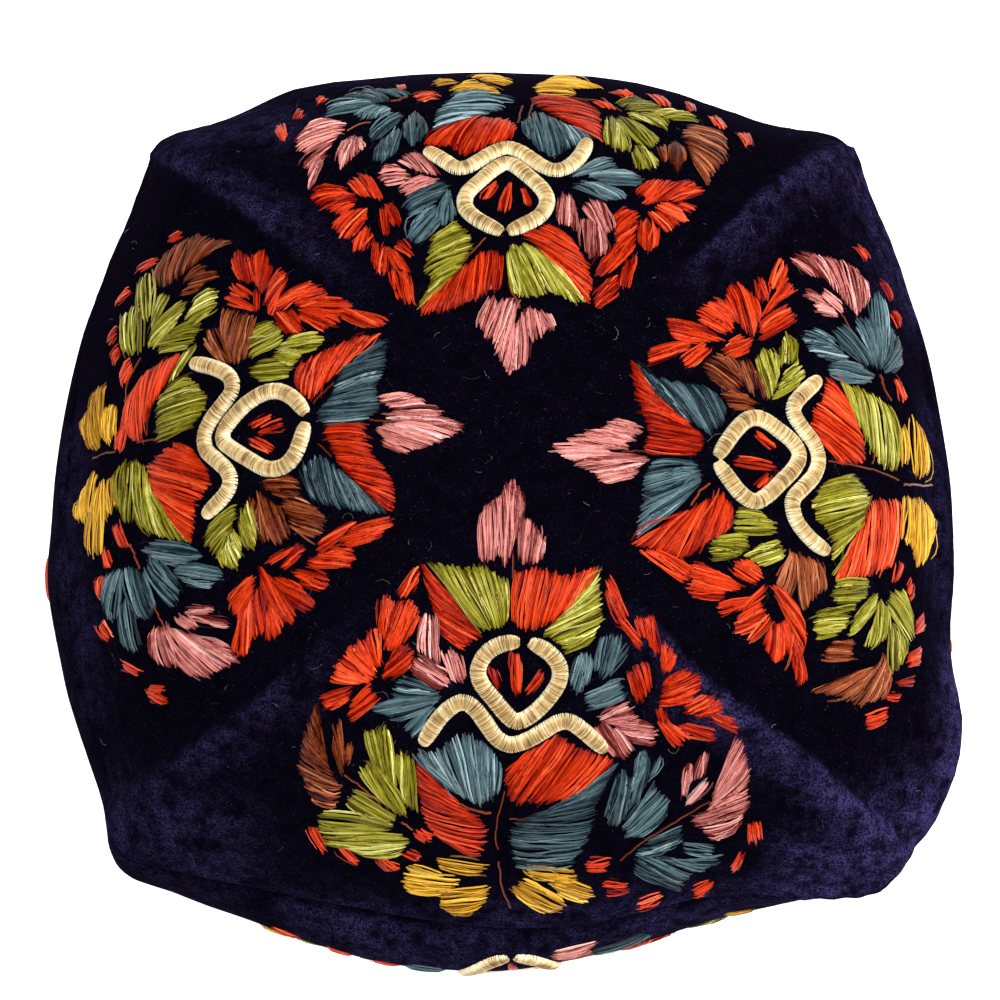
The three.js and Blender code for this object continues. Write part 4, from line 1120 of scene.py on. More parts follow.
            ((-18, 38.5, -16.8, 36.8, -15.5, 38.3), (-15.8, 44.8, -14, 45, -12.1, 43.8), DEEPER),
            ((-11.3, 37.3, -10, 38.5, -8.2, 38.8), (-11, 43.5, -10.3, 46, -8.3, 45.5), DEEPER),
            ((19.5, 45.5, 20.3, 46.5, 20.6, 47.5), (14, 48.3, 13, 49, 15, 49.5), DEEPER),
            ((23.5, 48.2, 24.4, 49.8, 23.8, 52.2), (18, 48.6, 18.3, 50.2, 20, 52.2), DEEPER),
            ((12.8, 49.3, 15, 49.8, 17.5, 51), (17.5, 55.3, 19.3, 55.3, 20.5, 53.3), DEEPER),
            ((27, 57, 29, 54.3, 31.2, 52, 31.6, 56), (27.8, 59.3, 28.8, 60.3, 29.5, 60, 30.5, 59)),
            ((35.8, 49, 36.7, 47.5, 37, 51), (34.8, 54, 33.8, 56, 34.5, 57)),
            ((37.5, 52.5, 38.5, 53.8), (33.5, 57.5, 32, 60)),
            ((38, 56.3, 39.5, 58, 40, 60.5, 37.5, 65), (32.5, 59.8, 31, 62, 30.3, 64, 34.5, 65.5)),
        ),
        "russet": (
            ((-35.2, 48.5, -36.5, 52, -38.8, 55.5, -39.8, 60.5, -39, 63),
             (-32.6, 55.3, -32, 58, -31.2, 60.5, -31, 62.5, -32.3, 64.6)),
            ((-31.3, 55, -29.7, 51.3, -28.3, 54.5), (-31, 58.5, -29.5, 59.7, -28.5, 58.5)),
            ((-27.8, 53.3, -27.2, 54), (-28, 59, -26.5, 58)),
        ),
        "saffron": (
            ((-12, 70.7, -11.8, 72.8), (-4, 71.2, -3.6, 73)),
            ((-13, 73.5, -17, 74.3, -14.5, 76, -12, 77.8), (-4, 73.3, -4.3, 74.8, -5.5, 76, -7, 77.5)),
            ((1.8, 71.5, 3.5, 73.5, 6.5, 75.3), (10, 71.3, 12, 72.5, 9.5, 75)),
            ((0.5, 74.3, -0.3, 75.5, 1.5, 78), (5.5, 75.8, 6.5, 77, 8.5, 78.5)),
            ((10, 75.3, 12, 77), (14.7, 74, 14.5, 77)),
        ),
    },
    "left": {
        "poppy": (
            ((-18.3, 22.9, -17.8, 27, -16, 32.5, -13.5, 37),
             (-12.2, 29.7, -9, 33, -6.3, 35.2, -9.5, 37.8)),
            ((-20.2, 21.6, -19.4, 22, -19.3, 25), (-22.7, 28, -23.5, 31, -22, 30.5)),
            ((-24.9, 29, -23.3, 27.5, -22, 29), (-25.2, 36, -24, 37.5, -23.3, 36.5)),
            ((-22, 30.5, -20.4, 30, -19.1, 32.8), (-23.5, 36.5, -23.5, 38, -22.5, 37.8)),
            ((-28, 34.2, -26.3, 32.3, -25, 32.5), (-25.8, 38, -25, 39, -24.2, 38)),
            ((-29, 35.3, -28, 34.8, -27, 36), (-26.3, 41, -24.5, 43, -23.5, 41.5)),
            ((-20.5, 37, -19, 36.8, -18.8, 39), (-24, 39.3, -23.6, 42, -22.5, 42.3)),
            ((-32.2, 41, -30.3, 39.4, -28.5, 40.5), (-27.5, 43.7, -24.5, 43.7, -22.4, 42.8)),
            ((-33.5, 43, -36.4, 44.7, -35.5, 46.5), (-28, 43.5, -27, 44.5, -29.5, 45.8)),
            ((-29, 45.1, -28.8, 45.6), (-23.6, 44.8, -23.5, 45.2)),
            ((-34.8, 46.8, -37, 49.3, -34.5, 50.3), (-30.5, 45.8, -29.5, 46.8, -30.5, 48.5)),
            ((-30.2, 49.5, -29.7, 51), (-27, 45.9, -26.5, 47)),
            ((-28.3, 51.5, -27.2, 51.9), (-24.6, 45.3, -23.7, 45.5)),
            ((-1.3, 25, 1, 24.6, 4, 23.8, 7, 21.5, 9.5, 20, 13.7, 20),
             (-1.7, 32.8, -0.7, 33.2, 1, 31.8, 4, 30.8, 6.5, 28.8, 9.5, 25.8)),
            ((14.7, 20.5, 16, 20, 18.5, 23.5), (17, 28.5, 18.7, 29.8, 19.7, 28)),
            ((14.9, 26, 15.5, 27, 17, 28.5), (18.5, 33.3, 19.6, 34.2, 21, 33.5)),
            ((20.3, 27.3, 21.8, 26.5, 22.8, 27.5, 23.2, 29), (20, 31, 20.8, 33.5, 21.8, 35.9, 22.8, 35)),
            ((24.8, 30.8, 25.8, 31, 27.2, 32.3), (22.8, 37, 23.5, 37.9, 25, 37)),
            ((18.4, 36.3, 19.5, 35.3, 20.8, 36.5), (21.7, 39.3, 22.8, 40.3, 23.5, 39.8)),
            ((18.5, 37, 19.2, 37.5), (21.3, 42.8, 22.2, 42.5)),
            ((26.5, 36, 28.5, 34, 30, 33.3, 30.8, 35), (24.5, 39.5, 24, 41.3, 24.3, 42.3, 26, 41)),
            ((30.5, 37, 32.8, 37.3, 32, 39.5), (25.5, 41, 21.8, 43.8, 24, 43.7)),
            ((33, 39.3, 35, 40.5, 35.5, 42.3), (28.5, 41.2, 29, 42.3, 30, 42)),
            ((33, 42, 34.5, 43.5, 34.5, 45), (25.5, 43, 25, 44, 28, 45)),
            ((36, 45.5, 38, 46.3, 37, 48.5), (28, 44.6, 27, 45, 30, 47)),
            ((27, 49, 28.3, 49.3, 31.5, 47.8), (23.3, 45, 24.3, 44.5, 26, 44.5)),
            ((-18.6, 58.8, -17.8, 62.5, -16.3, 66, -13, 69),
             (-12.5, 62.3, -8.5, 65, -2.8, 66.8, -5.5, 70.7)),
            ((-9, 69, -7, 70.5), (-2, 70.6, -3, 72.3)),
            ((0.5, 56, 3.5, 53.7, 7, 52.4, 10.3, 55.3, 17, 55.8),
             (-1.7, 60, -0.5, 62.5, 1.5, 65.2, 4.5, 65.2, 9.5, 61.8)),
            ((-43.3, 60.3, -42, 59.8), (-42.5, 63.5, -41.3, 63)),
            ((-39.5, 64.5, -38, 64.3), (-38.7, 69.8, -37.5, 69.3)),
            ((-35, 70.5, -33.5, 69.5), (-33, 73.3, -31.3, 73.2)),
            ((-27.5, 72.5, -25.5, 72.2), (-25.5, 75.2, -24, 74)),
            ((-20, 69.5, -18, 68.5), (-17, 71.5, -14.2, 70.5)),
            ((-23, 71.8, -21, 71.5), (-21.5, 73.3, -19.3, 72.8)),
            ((10.3, 70.8, 10.5, 71.8), (16.3, 68.3, 15, 70.3)),
            ((14.2, 73.3, 15, 74), (18.2, 71.5, 18.5, 73)),
            ((19, 73.8, 19.5, 75), (24, 73.8, 22.5, 75)),
            ((26.9, 74, 28, 75.3), (31, 71.2, 31.3, 73)),
            ((35, 70, 35.8, 70.7), (37.5, 65.5, 38.7, 65.8)),
            ((40.2, 64.5, 40.8, 65.2), (41.2, 60.8, 41.8, 60.8)),
            ((41, 65, 42.3, 64.5), (43.3, 60.3, 44, 60.8)),
            ((-3.5, 39.3, -2.6, 39.3), (-1.7, 45, -0.8, 45)),
            ((-5.2, 42, -4.5, 41.6), (-2.9, 46.2, -2.2, 45.8)),
            ((2, 41.2, 2.8, 41.7), (-1, 46, -0.3, 46.4)),
        ),
        "leaf": (
            ((-19, 34, -17.5, 32.5, -16, 33.8), (-18.3, 39.5, -17.3, 41, -15.3, 40.5)),
            ((-15.8, 37.2, -14.5, 36.5, -13.3, 38), (-17, 41, -15.6, 42, -14.2, 41.5)),
            ((-14.3, 39, -12.7, 38, -11.3, 38.8), (-14.8, 44.5, -13, 46.5, -11.3, 45.5)),
            ((-22, 42.3, -20.2, 40.5, -18.5, 39.9), (-20.5, 46, -17.5, 47, -15, 46.5)),
            ((16.5, 44.3, 19.5, 44.5, 18.8, 46), (11.5, 45.8, 10.2, 46, 13.5, 47.8)),
            ((18.8, 46.6, 22.6, 48.2, 21.5, 50.8), (15, 48.7, 16.5, 49.3, 19, 50.5)),
            ((10.8, 47.5, 13, 48.3, 16, 49), (15, 53.5, 17, 54, 20, 51.8)),
            ((-20, 55.8, -19, 57.8), (-13.5, 60, -12.8, 61.5)),
            ((-13.7, 57.5, -12, 55.8, -9.5, 53.8, -7, 54, -4.5, 56.3),
             (-12, 61.5, -10.5, 63.2, -8, 63.9, -5.3, 63.8, -2.6, 63.5)),
            ((17, 56.3, 15.5, 61.5, 13, 65.8), (9, 62.7, 0.5, 66, -0.5, 67.8)),
            ((11.8, 67.8, 11.3, 69.5, 7, 71.2), (-0.3, 67.8, -1, 69.5, 1, 71.7)),
            ((-30.2, 53.5, -29, 52.5, -26.5, 52.3, -25.5, 54),
             (-27.8, 57, -25.5, 58.8, -23.5, 58.5, -22.7, 57.5)),
            ((-24.3, 55.3, -22, 55.5, -19.3, 57), (-22.8, 61.5, -21, 64.3, -19.2, 63.8)),
            ((-28.9, 59.5, -28.3, 58, -25, 60), (-24, 65, -21, 66.3, -20, 64.5)),
            ((-31.6, 63.5, -30.5, 61.8), (-26.5, 65.5, -23, 65.3)),
            ((-37.2, 66, -36, 68.7), (-26, 65.5, -26.5, 67.5)),
            ((-30.7, 67.3, -30.7, 69.5, -29.5, 71.7), (-20, 66.8, -20, 68.5, -20.5, 70.3)),
        ),
        "slate": (
            ((-17.3, 22.3, -14.5, 21.4, -11.5, 22, -8.5, 23.2, -6.5, 22.9, -4.3, 22.9, -2.5, 24.8),
             (-12.3, 28, -11, 30.8, -8.5, 31, -6, 32.5, -4.5, 34.2, -3.5, 34, -2.2, 33)),
            ((14.2, 21.5, 14, 25, 13, 29.5, 12.8, 31.5, 11, 34.5),
             (9.3, 26.3, 4.7, 31.3, 2.9, 33.7, 4.3, 35, 5, 36.8)),
            ((18.2, 55, 19.5, 53.8, 20.3, 57), (15.2, 64, 16.5, 66.3, 18.5, 63)),
            ((22, 50.3, 23, 50, 25, 51.8), (20.5, 58.5, 21, 60, 23.3, 58.5)),
            ((23, 58.5, 26, 58.3, 28, 59.2), (18.3, 62.5, 18, 64.5, 19.5, 65.7)),
            ((27.3, 62.8, 29.3, 64.2, 29, 66), (20, 65.7, 19.3, 67, 18.2, 69.5)),
            ((33.5, 65.5, 34.7, 67, 33, 69.5), (25, 68, 24, 69.3, 26, 70.3)),
            ((28.5, 70.5, 28, 72.5, 24, 73.8), (19, 69.3, 18.5, 70, 19.3, 73)),
        ),
        "rose": (
            ((-7.2, 18.5, -6.6, 16), (-6.6, 23, -5.5, 23.2)),
            ((-5.6, 15, -4.6, 14.2), (-5.5, 23, -4.4, 21)),
            ((-4.1, 11.5, -3.3, 11.2, -2.6, 12), (-4.1, 21.2, -3.7, 21.6, -3.2, 20.5)),
            ((-2, 9.6, -1.1, 7.9, -0.4, 8.2), (-3.3, 22.8, -2.7, 22.5, -1.8, 19)),
            ((-0.2, 8.6, 0.8, 10, 2.3, 13, 3.2, 15.7), (-1.9, 19, -1.6, 22.5, -1, 23.8, 0.2, 23)),
            ((3.3, 16.5, 3.8, 18), (0.7, 22.5, 1.8, 22.8)),
            ((28.7, 51.3, 29.7, 52), (27.7, 57, 28.8, 58)),
            ((31, 48.5, 32.3, 48.7), (29.2, 56.5, 29.8, 57.5)),
            ((32, 54.3, 31.8, 56.5), (28.5, 58.3, 29.5, 59.2)),
            ((35.5, 49, 38.5, 47, 39.3, 50, 40.5, 52.5, 40.3, 56),
             (33.3, 55.5, 32.3, 57.5, 31, 59.5, 30, 62, 31, 63)),
            ((38.5, 57.8, 37.8, 61, 36, 63.7), (31, 61, 30.3, 63, 31, 64)),
        ),
        "russet": (
            ((-23.5, 45.3, -24, 47.5, -25.5, 50, -26, 51.3),
             (-15.3, 47.3, -14.8, 48, -14.3, 49, -20, 51.5)),
            ((-22.5, 51.8, -22.5, 54, -20, 55.3), (-14.2, 49.2, -14, 49.7, -15.5, 51.5)),
            ((12, 34.5, 14.5, 31.8, 16.5, 32.2, 18, 34), (10.3, 39, 11.8, 40.5, 13, 39.5, 15.5, 38.5)),
            ((7.3, 37, 9, 36.5, 11, 36), (7, 43, 7.6, 44, 9.5, 42)),
            ((17.3, 38.2, 19, 40, 18.7, 41), (11, 41.5, 9, 44, 8.5, 44.8)),
            ((18.5, 41.8, 18, 43, 15.5, 44.5), (12, 43.3, 9.5, 45.3, 9.3, 45.9)),
            ((-39, 50.5, -40.3, 55, -41.7, 56.5, -40.8, 61.5, -38.5, 64),
             (-36.7, 55.5, -35, 58, -33.5, 60.5, -32.3, 63, -34, 65.5)),
            ((-35.3, 55.5, -34, 54.5), (-33.5, 59, -32.2, 60)),
            ((-33, 52.3, -31.7, 52), (-33, 57.5, -31.5, 59)),
            ((-31.2, 55, -30, 56.3), (-31, 59.5, -30, 60)),
        ),
        "saffron": (
            ((-11.5, 71.8, -12.5, 73.5, -11, 74.8), (-6, 72, -4, 73, -6.5, 74.8)),
            ((-16.5, 74.3, -16.8, 76.3, -13.5, 78, -12.5, 79.5),
             (-9, 74.8, -4, 75.2, -5, 77.5, -8.5, 79)),
            ((1, 71.8, 2, 73.8), (8, 71.5, 9.7, 73)),
            ((1, 74, 3, 76), (16.5, 74, 14.5, 77.5)),
            ((0.3, 75.3, -0.8, 76.3, 4, 79.7), (8, 76.5, 9.3, 77.7, 7, 79.8)),
        ),
    },
}


def along(rail, share):
    lengths = [(b - a).length for a, b in zip(rail, rail[1:])]
    reach = share * sum(lengths)
    for (a, b), length in zip(zip(rail, rail[1:]), lengths):
        if reach <= length or b is rail[-1]:
            return a.lerp(b, reach / max(length, 1e-9))
        reach -= length
    return rail[-1]


def rail_length(rail):
    return sum((b - a).length for a, b in zip(rail, rail[1:]))


def new_threads():
    return {"paths": [], "thick": [], "shade": [], "aside": [], "lie": []}


def lay_strand(path, lies, half_widths, thick, shades, threads):
    last = len(path) - 1
    for step, (lie, half_width) in enumerate(zip(lies, half_widths)):
        run = path[min(step + 1, last)] - path[max(step - 1, 0)]
        threads["aside"].append(run.cross(lie).normalized() * half_width)
        threads["lie"].append(lie)
    threads["paths"].append(path)
    threads["thick"] += thick
    threads["shade"] += shades


def fuller(end_share, rate, arch):
    return end_share + (1 - end_share) * min(1.0, rate * arch)


def lay_thread(a, b, bend, wave, lift, rooms, girth, shade, seat, field, threads):
    steps = max(STRAND_FEWEST_STEPS, math.ceil((b - a).length / STRAND_STEP))
    path, lies, half_widths, thick, shades = [], [], [], [], []
    for step in range(steps + 1):
        s = step / steps
        arch = math.sin(math.pi * s)
        spot, normal = seat(field, a.lerp(b, s) + bend * arch + wave * math.sin(2 * math.pi * s))
        raised = (lift + STRAND_SINK) * min(1.0, STRAND_RISE_RATE * arch ** 0.5)
        path.append(spot + normal * (raised - STRAND_SINK))
        lies.append(normal)
        room = rooms[0] * (1 - s) + rooms[1] * s
        half_width = min(STRAND_ROOM * room, STRAND_HALF_WIDTH)
        half_widths.append(half_width * fuller(STRAND_END_WIDTH, STRAND_WIDTH_RATE, arch))
        thick.append(girth * fuller(STRAND_END_GIRTH, STRAND_GIRTH_RATE, arch))
        # The ends, which dive into the velvet, are painted darker as shade.
        shades.append(shade - STRAND_END_PAINTED_SHADE * (1 - min(1.0, STRAND_PAINTED_SHADE_RATE * arch)))
    lay_strand(path, lies, half_widths, thick, shades, threads)


def aside_of(ahead):
    return Vector((-ahead.y, ahead.x))


def bow_of(across, share, length):
    return across * (2 * share - 1) * PETAL_BOW * length


def lay_underlay(starts, ends, across, widest, rooms, lift, shade, seat, field, threads):
    under = max(1, round(UNDERLAY_SHARE * widest / UNDERLAY_PITCH))
    for number in range(under):
        share = (number + 0.5) / under
        a, b = along(starts, share), along(ends, share)
        bow = bow_of(across, share, (b - a).length)
        lay_thread(a.lerp(b, UNDERLAY_INSET), b.lerp(a, UNDERLAY_INSET), bow, bow * 0, lift, rooms,
                   UNDERLAY_GIRTH, shade, seat, field, threads)


def lay_wisps(starts, ends, number, lift, petal_shade, seat, field, chance, threads):
    for wisp in range(number):
        share = chance.random()
        a, b = along(starts, share), along(ends, share)
        run = b - a
        ahead = run.normalized()
        aside = aside_of(ahead)
        a = a - ahead * chance.uniform(*WISP_START) * MM + aside * chance.gauss(0, WISP_ASIDE) * MM
        b = b + ahead * chance.uniform(*WISP_END) * MM + aside * chance.gauss(0, WISP_ASIDE) * MM
        bend = aside * chance.gauss(0, WISP_BEND) * run.length
        shade = petal_shade + chance.gauss(0, STRAND_TONE)
        lay_thread(a, b, bend, bend * 0.5, lift, (MM, MM), WISP_GIRTH, shade, seat, field, threads)


def lay_petal(starts, ends, seat, field, chance, threads, tone=0.0):
    starts, ends = paired(starts), paired(ends)
    first_width, last_width = rail_length(starts), rail_length(ends)
    widest = max(first_width, last_width)
    wider = 1 + PETAL_SPREAD / widest
    narrowest = min(first_width, last_width)
    room = STRANDS_BY_WIDER_END * widest * wider + STRANDS_BY_NARROWER_END * narrowest
    count = max(2, round(room / STRAND_PITCH))
    rooms = (first_width / count, last_width / count)
    petal_shade = chance.gauss(*PETAL_TONE) + tone
    padding = min(PADDING_LEAST + PADDING_FOR_WIDTH * widest / MM, PADDING_MOST) * MM
    across = (starts[-1] - starts[0]) + (ends[-1] - ends[0])
    across = across.normalized() if across.length > 0 else Vector((1.0, 0.0))
    # The padding is painted darker, as shade between the strands above it.
    lay_underlay(starts, ends, across, widest, rooms, UNDERLAY_LIFT * padding, petal_shade - UNDERLAY_PAINTED_SHADE,
                 seat, field, threads)
    for number in range(count):
        share = (number + 0.5 + chance.uniform(-STRAND_ASTRAY, STRAND_ASTRAY)) / count
        share = (share - 0.5) * wider + 0.5
        a = along(starts, share)
        b = along(ends, share + chance.uniform(-STRAND_SKEW, STRAND_SKEW) / count)
        run = b - a
        ahead = run.normalized()
        a = a - ahead * chance.uniform(*STRAND_START_RAGGED) * MM
        b = b + ahead * chance.uniform(*STRAND_END_RAGGED) * MM
        sway = aside_of(ahead) * chance.gauss(0, STRAND_SWAY) * run.length
        wave = aside_of(ahead) * chance.gauss(0, STRAND_WAVE) * MM
        falls = 1 - PETAL_SIDE_FALL * (2 * share - 1) ** 2
        lift = padding * falls + chance.gauss(0, STRAND_UNEVEN) * MM
        girth = chance.uniform(*STRAND_GIRTH)
        shade = petal_shade + chance.gauss(0, STRAND_TONE)
        bend = bow_of(across, share, run.length) + sway
        lay_thread(a, b, bend, wave, lift, rooms, girth, shade, seat, field, threads)
    wisps = 1 + count // STRANDS_FOR_A_WISP
    lay_wisps(starts, ends, wisps, padding + WISP_LIFT, petal_shade, seat, field, chance, threads)


def floss_tree():
    tree, given, result = tree_with(
        "laid_floss", ("Filaments", "Int"), ("Radius", "Float"), ("Crown", "Float"), ("Seed", "Int"),
        ("Silk", "Material"))
    curve = add_node(tree, "GeometryNodeMeshToCurve")
    wire(tree, given["Geometry"], curve.inputs["Mesh"])
    split = add_node(tree, "GeometryNodeDuplicateElements", domain="SPLINE")
    wire(tree, curve.outputs["Curve"], split.inputs["Geometry"])
    wire(tree, given["Filaments"], split.inputs["Amount"])
    own = any_between(tree, (-1.0, -1.0, -1.0), (1.0, 1.0, 1.0), given["Seed"])
    parted = kept_value(tree, split.outputs["Geometry"], "own", own, "CURVE", "FLOAT_VECTOR")
    ranked = kept_value(tree, parted, "rank", split.outputs["Duplicate Index"], "CURVE")
    chances = add_node(tree, "ShaderNodeSeparateXYZ")
    wire(tree, read_value(tree, "own", "FLOAT_VECTOR"), chances.inputs["Vector"])
    gaps = sums(tree, "MAXIMUM", sums(tree, "SUBTRACT", given["Filaments"], 1.0), 1.0)
    even = sums(tree, "MULTIPLY_ADD", sums(tree, "DIVIDE", read_value(tree, "rank"), gaps), 2.0, -1.0)
    run = sums(tree, "SUBTRACT", add_node(tree, "GeometryNodeSplineParameter").outputs["Factor"], 0.5)
    crossing = sums(tree, "MULTIPLY", sums(tree, "MULTIPLY", chances.outputs["Z"], FILAMENT_CROSSING), run)
    stray = sums(tree, "MULTIPLY_ADD", chances.outputs["X"], FILAMENT_ASTRAY, even)
    dip = sums(tree, "MULTIPLY", sums(tree, "MULTIPLY", even, even), -1.0)
    stand = sums(tree, "MULTIPLY_ADD", chances.outputs["Y"], FILAMENT_UNEVEN, dip)
    amounts = {"aside": sums(tree, "ADD", stray, crossing),
               "lie": sums(tree, "MULTIPLY", stand, given["Crown"])}
    offset = add_node(tree, "ShaderNodeVectorMath", operation="ADD")
    for socket, (name, amount) in zip(offset.inputs, amounts.items()):
        moved_along = add_node(tree, "ShaderNodeVectorMath", operation="SCALE")
        wire(tree, read_value(tree, name, "FLOAT_VECTOR"), moved_along.inputs[0])
        wire(tree, amount, moved_along.inputs["Scale"])
        wire(tree, moved_along.outputs["Vector"], socket)
    moved = add_node(tree, "GeometryNodeSetPosition")
    wire(tree, ranked, moved.inputs["Geometry"])
    wire(tree, offset.outputs["Vector"], moved.inputs["Offset"])
    tone = sums(tree, "MULTIPLY_ADD", chances.outputs["X"], FILAMENT_TONE, read_value(tree, "shade"))
    # Outer filaments are painted darker, as shade between strands.
    shade = sums(tree, "MULTIPLY_ADD", dip, FILAMENT_SIDE_PAINTED_SHADE, tone)
    toned = kept_value(tree, moved.outputs["Geometry"], "shade", shade)
    girth = sums(tree, "MULTIPLY_ADD", chances.outputs["Y"], FILAMENT_GIRTH, 1.0)
    girth = sums(tree, "MULTIPLY", read_value(tree, "thick"), girth)
    thickness = sums(tree, "MULTIPLY", girth, given["Radius"])
    close_tree(tree, (tube_of(tree, toned, thickness, THREAD_SIDES),), given["Silk"], result["Geometry"])
    return tree


def silk_finish(name, shades):
    finish, tree, surface = new_finish(name + "_silk_floss")
    patches = grain(tree, SILK_DYE_GRAIN, detail=3.0)
    dye = sums(tree, "MULTIPLY_ADD", patches, SILK_DYE_SPREAD, -0.5 * SILK_DYE_SPREAD)
    stops = [(stop, (*colour, 1.0)) for stop, colour in zip(SILK_STOPS, shades)]
    silk = ramped(tree, sums(tree, "ADD", attribute(tree, "shade"), dye), *stops)
    wire(tree, silk, surface.inputs["Base Color"])
    set_surface(surface, Roughness=0.28, Specular_IOR_Level=0.10)
    return finish


def embroider(name, silk, threads, filaments=FILAMENTS, radius=FILAMENT_RADIUS):
    layers = {key: values for key, values in threads.items() if key != "paths"}
    piece = place(name, path_mesh(name, threads["paths"], **layers))
    return grow(piece, laid_floss, {"Filaments": filaments, "Radius": radius, "Crown": STRAND_CROWN,
                                    "Seed": FLOSS_SEED, "Silk": silk})


laid_floss = floss_tree()
silks = {name: silk_finish(name, shades) for name, shades in SILK_SHADES.items()}
chance = random.Random(EMBROIDERY_SEED)
for field, chart in PETALS.items():
    for silk, petals in chart.items():
        threads = new_threads()
        for starts, ends, *tone in petals:
            lay_petal(starts, ends, crown_seat, field, chance, threads, sum(tone))
        settle(embroider(silk + "_stitches_" + field, silks[silk], threads), silk + "_silk")

# Stems. The thin stalks between the leaves, from the rose leaf down to the border: single strands of
# brown silk floss, laid along a drawn line and held down by small stitches of the same silk.
STEM_TONE = (0.14, 0.44)
STEM_STEPS = 5
STEM_DRIFT = 0.06
STEM_LIFT = 0.22 * MM
STEM_HALF_WIDTH = 0.13 * MM
STEM_GIRTH = 0.95
STEM_FILAMENTS = 3
STEMS = {
    "front": (
        (0.3, 21.5, 0.3, 23.5, 0.2, 25.3), (-1, 60, -2, 64, -2.5, 67, -2, 69),
        (-2, 71, -1.3, 75, 0.2, 78),
        (-12, 60, -9, 61.8, -6, 63, -3.3, 63.4), (0, 64.3, 3, 64.4, 5.5, 63.6, 7.5, 62.3),
        (19.5, 70.5, 22.5, 68, 25.5, 66.2, 30, 63.6, 35, 60.8), (-29, 57, -26, 59, -22.5, 61.8),
        (-19, 64.8, -18, 65.3, -17, 66),
    ),
    "right": (
        (-3.3, 19, -3, 22, -3.5, 25.5), (-12, 31, -9.5, 32.5, -8, 34.3),
        (0, 64.5, 2, 65, 4.5, 64.5, 6, 63.5),
        (13, 69, 15, 67.5, 17.5, 66.8), (20, 65, 23, 62, 27, 59.3), (-2, 71, -0.5, 75, 1, 78),
        (-12, 62, -9, 63.3, -6, 64.3), (-1.5, 56, -1.3, 60, -1.2, 66, -1.5, 70),
    ),
    "back": (
        (-1.3, 22.5, -0.8, 24, 0.4, 26, 0.7, 29, 0.8, 32), (9.5, 30.5, 7, 33.5, 4.8, 36.2),
        (-2.8, 63, -3.2, 65, -3.6, 67.5), (-1, 62, -1.3, 64.5, -1.8, 67),
        (-20, 66.3, -17.5, 68.5, -15, 69.4, -11.5, 69.3),
        (26, 63.2, 28, 63, 30.2, 61.5), (19.5, 70.2, 21, 69.2, 22.5, 69),
    ),
    "left": (
        (-2, 20, -2.1, 22, -2.5, 24.5), (3.8, 31.3, 2.5, 32.4, 1.4, 33.6),
        (-9.5, 31, -7.8, 32.8, -6, 34.5),
        (-2.5, 61, -3, 64, -3.2, 67), (-10, 64, -7, 65, -4, 65.2), (15, 68, 17.5, 67, 19.8, 66),
        (26.5, 63.3, 29, 62, 32, 60.5), (-19, 67, -17, 68.3, -14.5, 69.6, -11.5, 69.8),
        (-2.6, 71.5, -3.1, 74, -2.9, 76.5),
    ),
}
stem_threads = new_threads()
for field, routes in STEMS.items():
    for route in routes:
        path, lies = [], []
        tone = chance.uniform(*STEM_TONE)
        for spot_on_field in smooth_route(paired(route), STEM_STEPS):
            drift = Vector((chance.gauss(0, STEM_DRIFT), chance.gauss(0, STEM_DRIFT))) * MM
            spot, normal = crown_seat(field, spot_on_field + drift)
            path.append(spot + normal * STEM_LIFT)
            lies.append(normal)
        count = len(path)
        lay_strand(path, lies, [STEM_HALF_WIDTH] * count, [STEM_GIRTH] * count, [tone] * count, stem_threads)
settle(embroider("russet_stems", silks["russet"], stem_threads, STEM_FILAMENTS), "russet_silk")

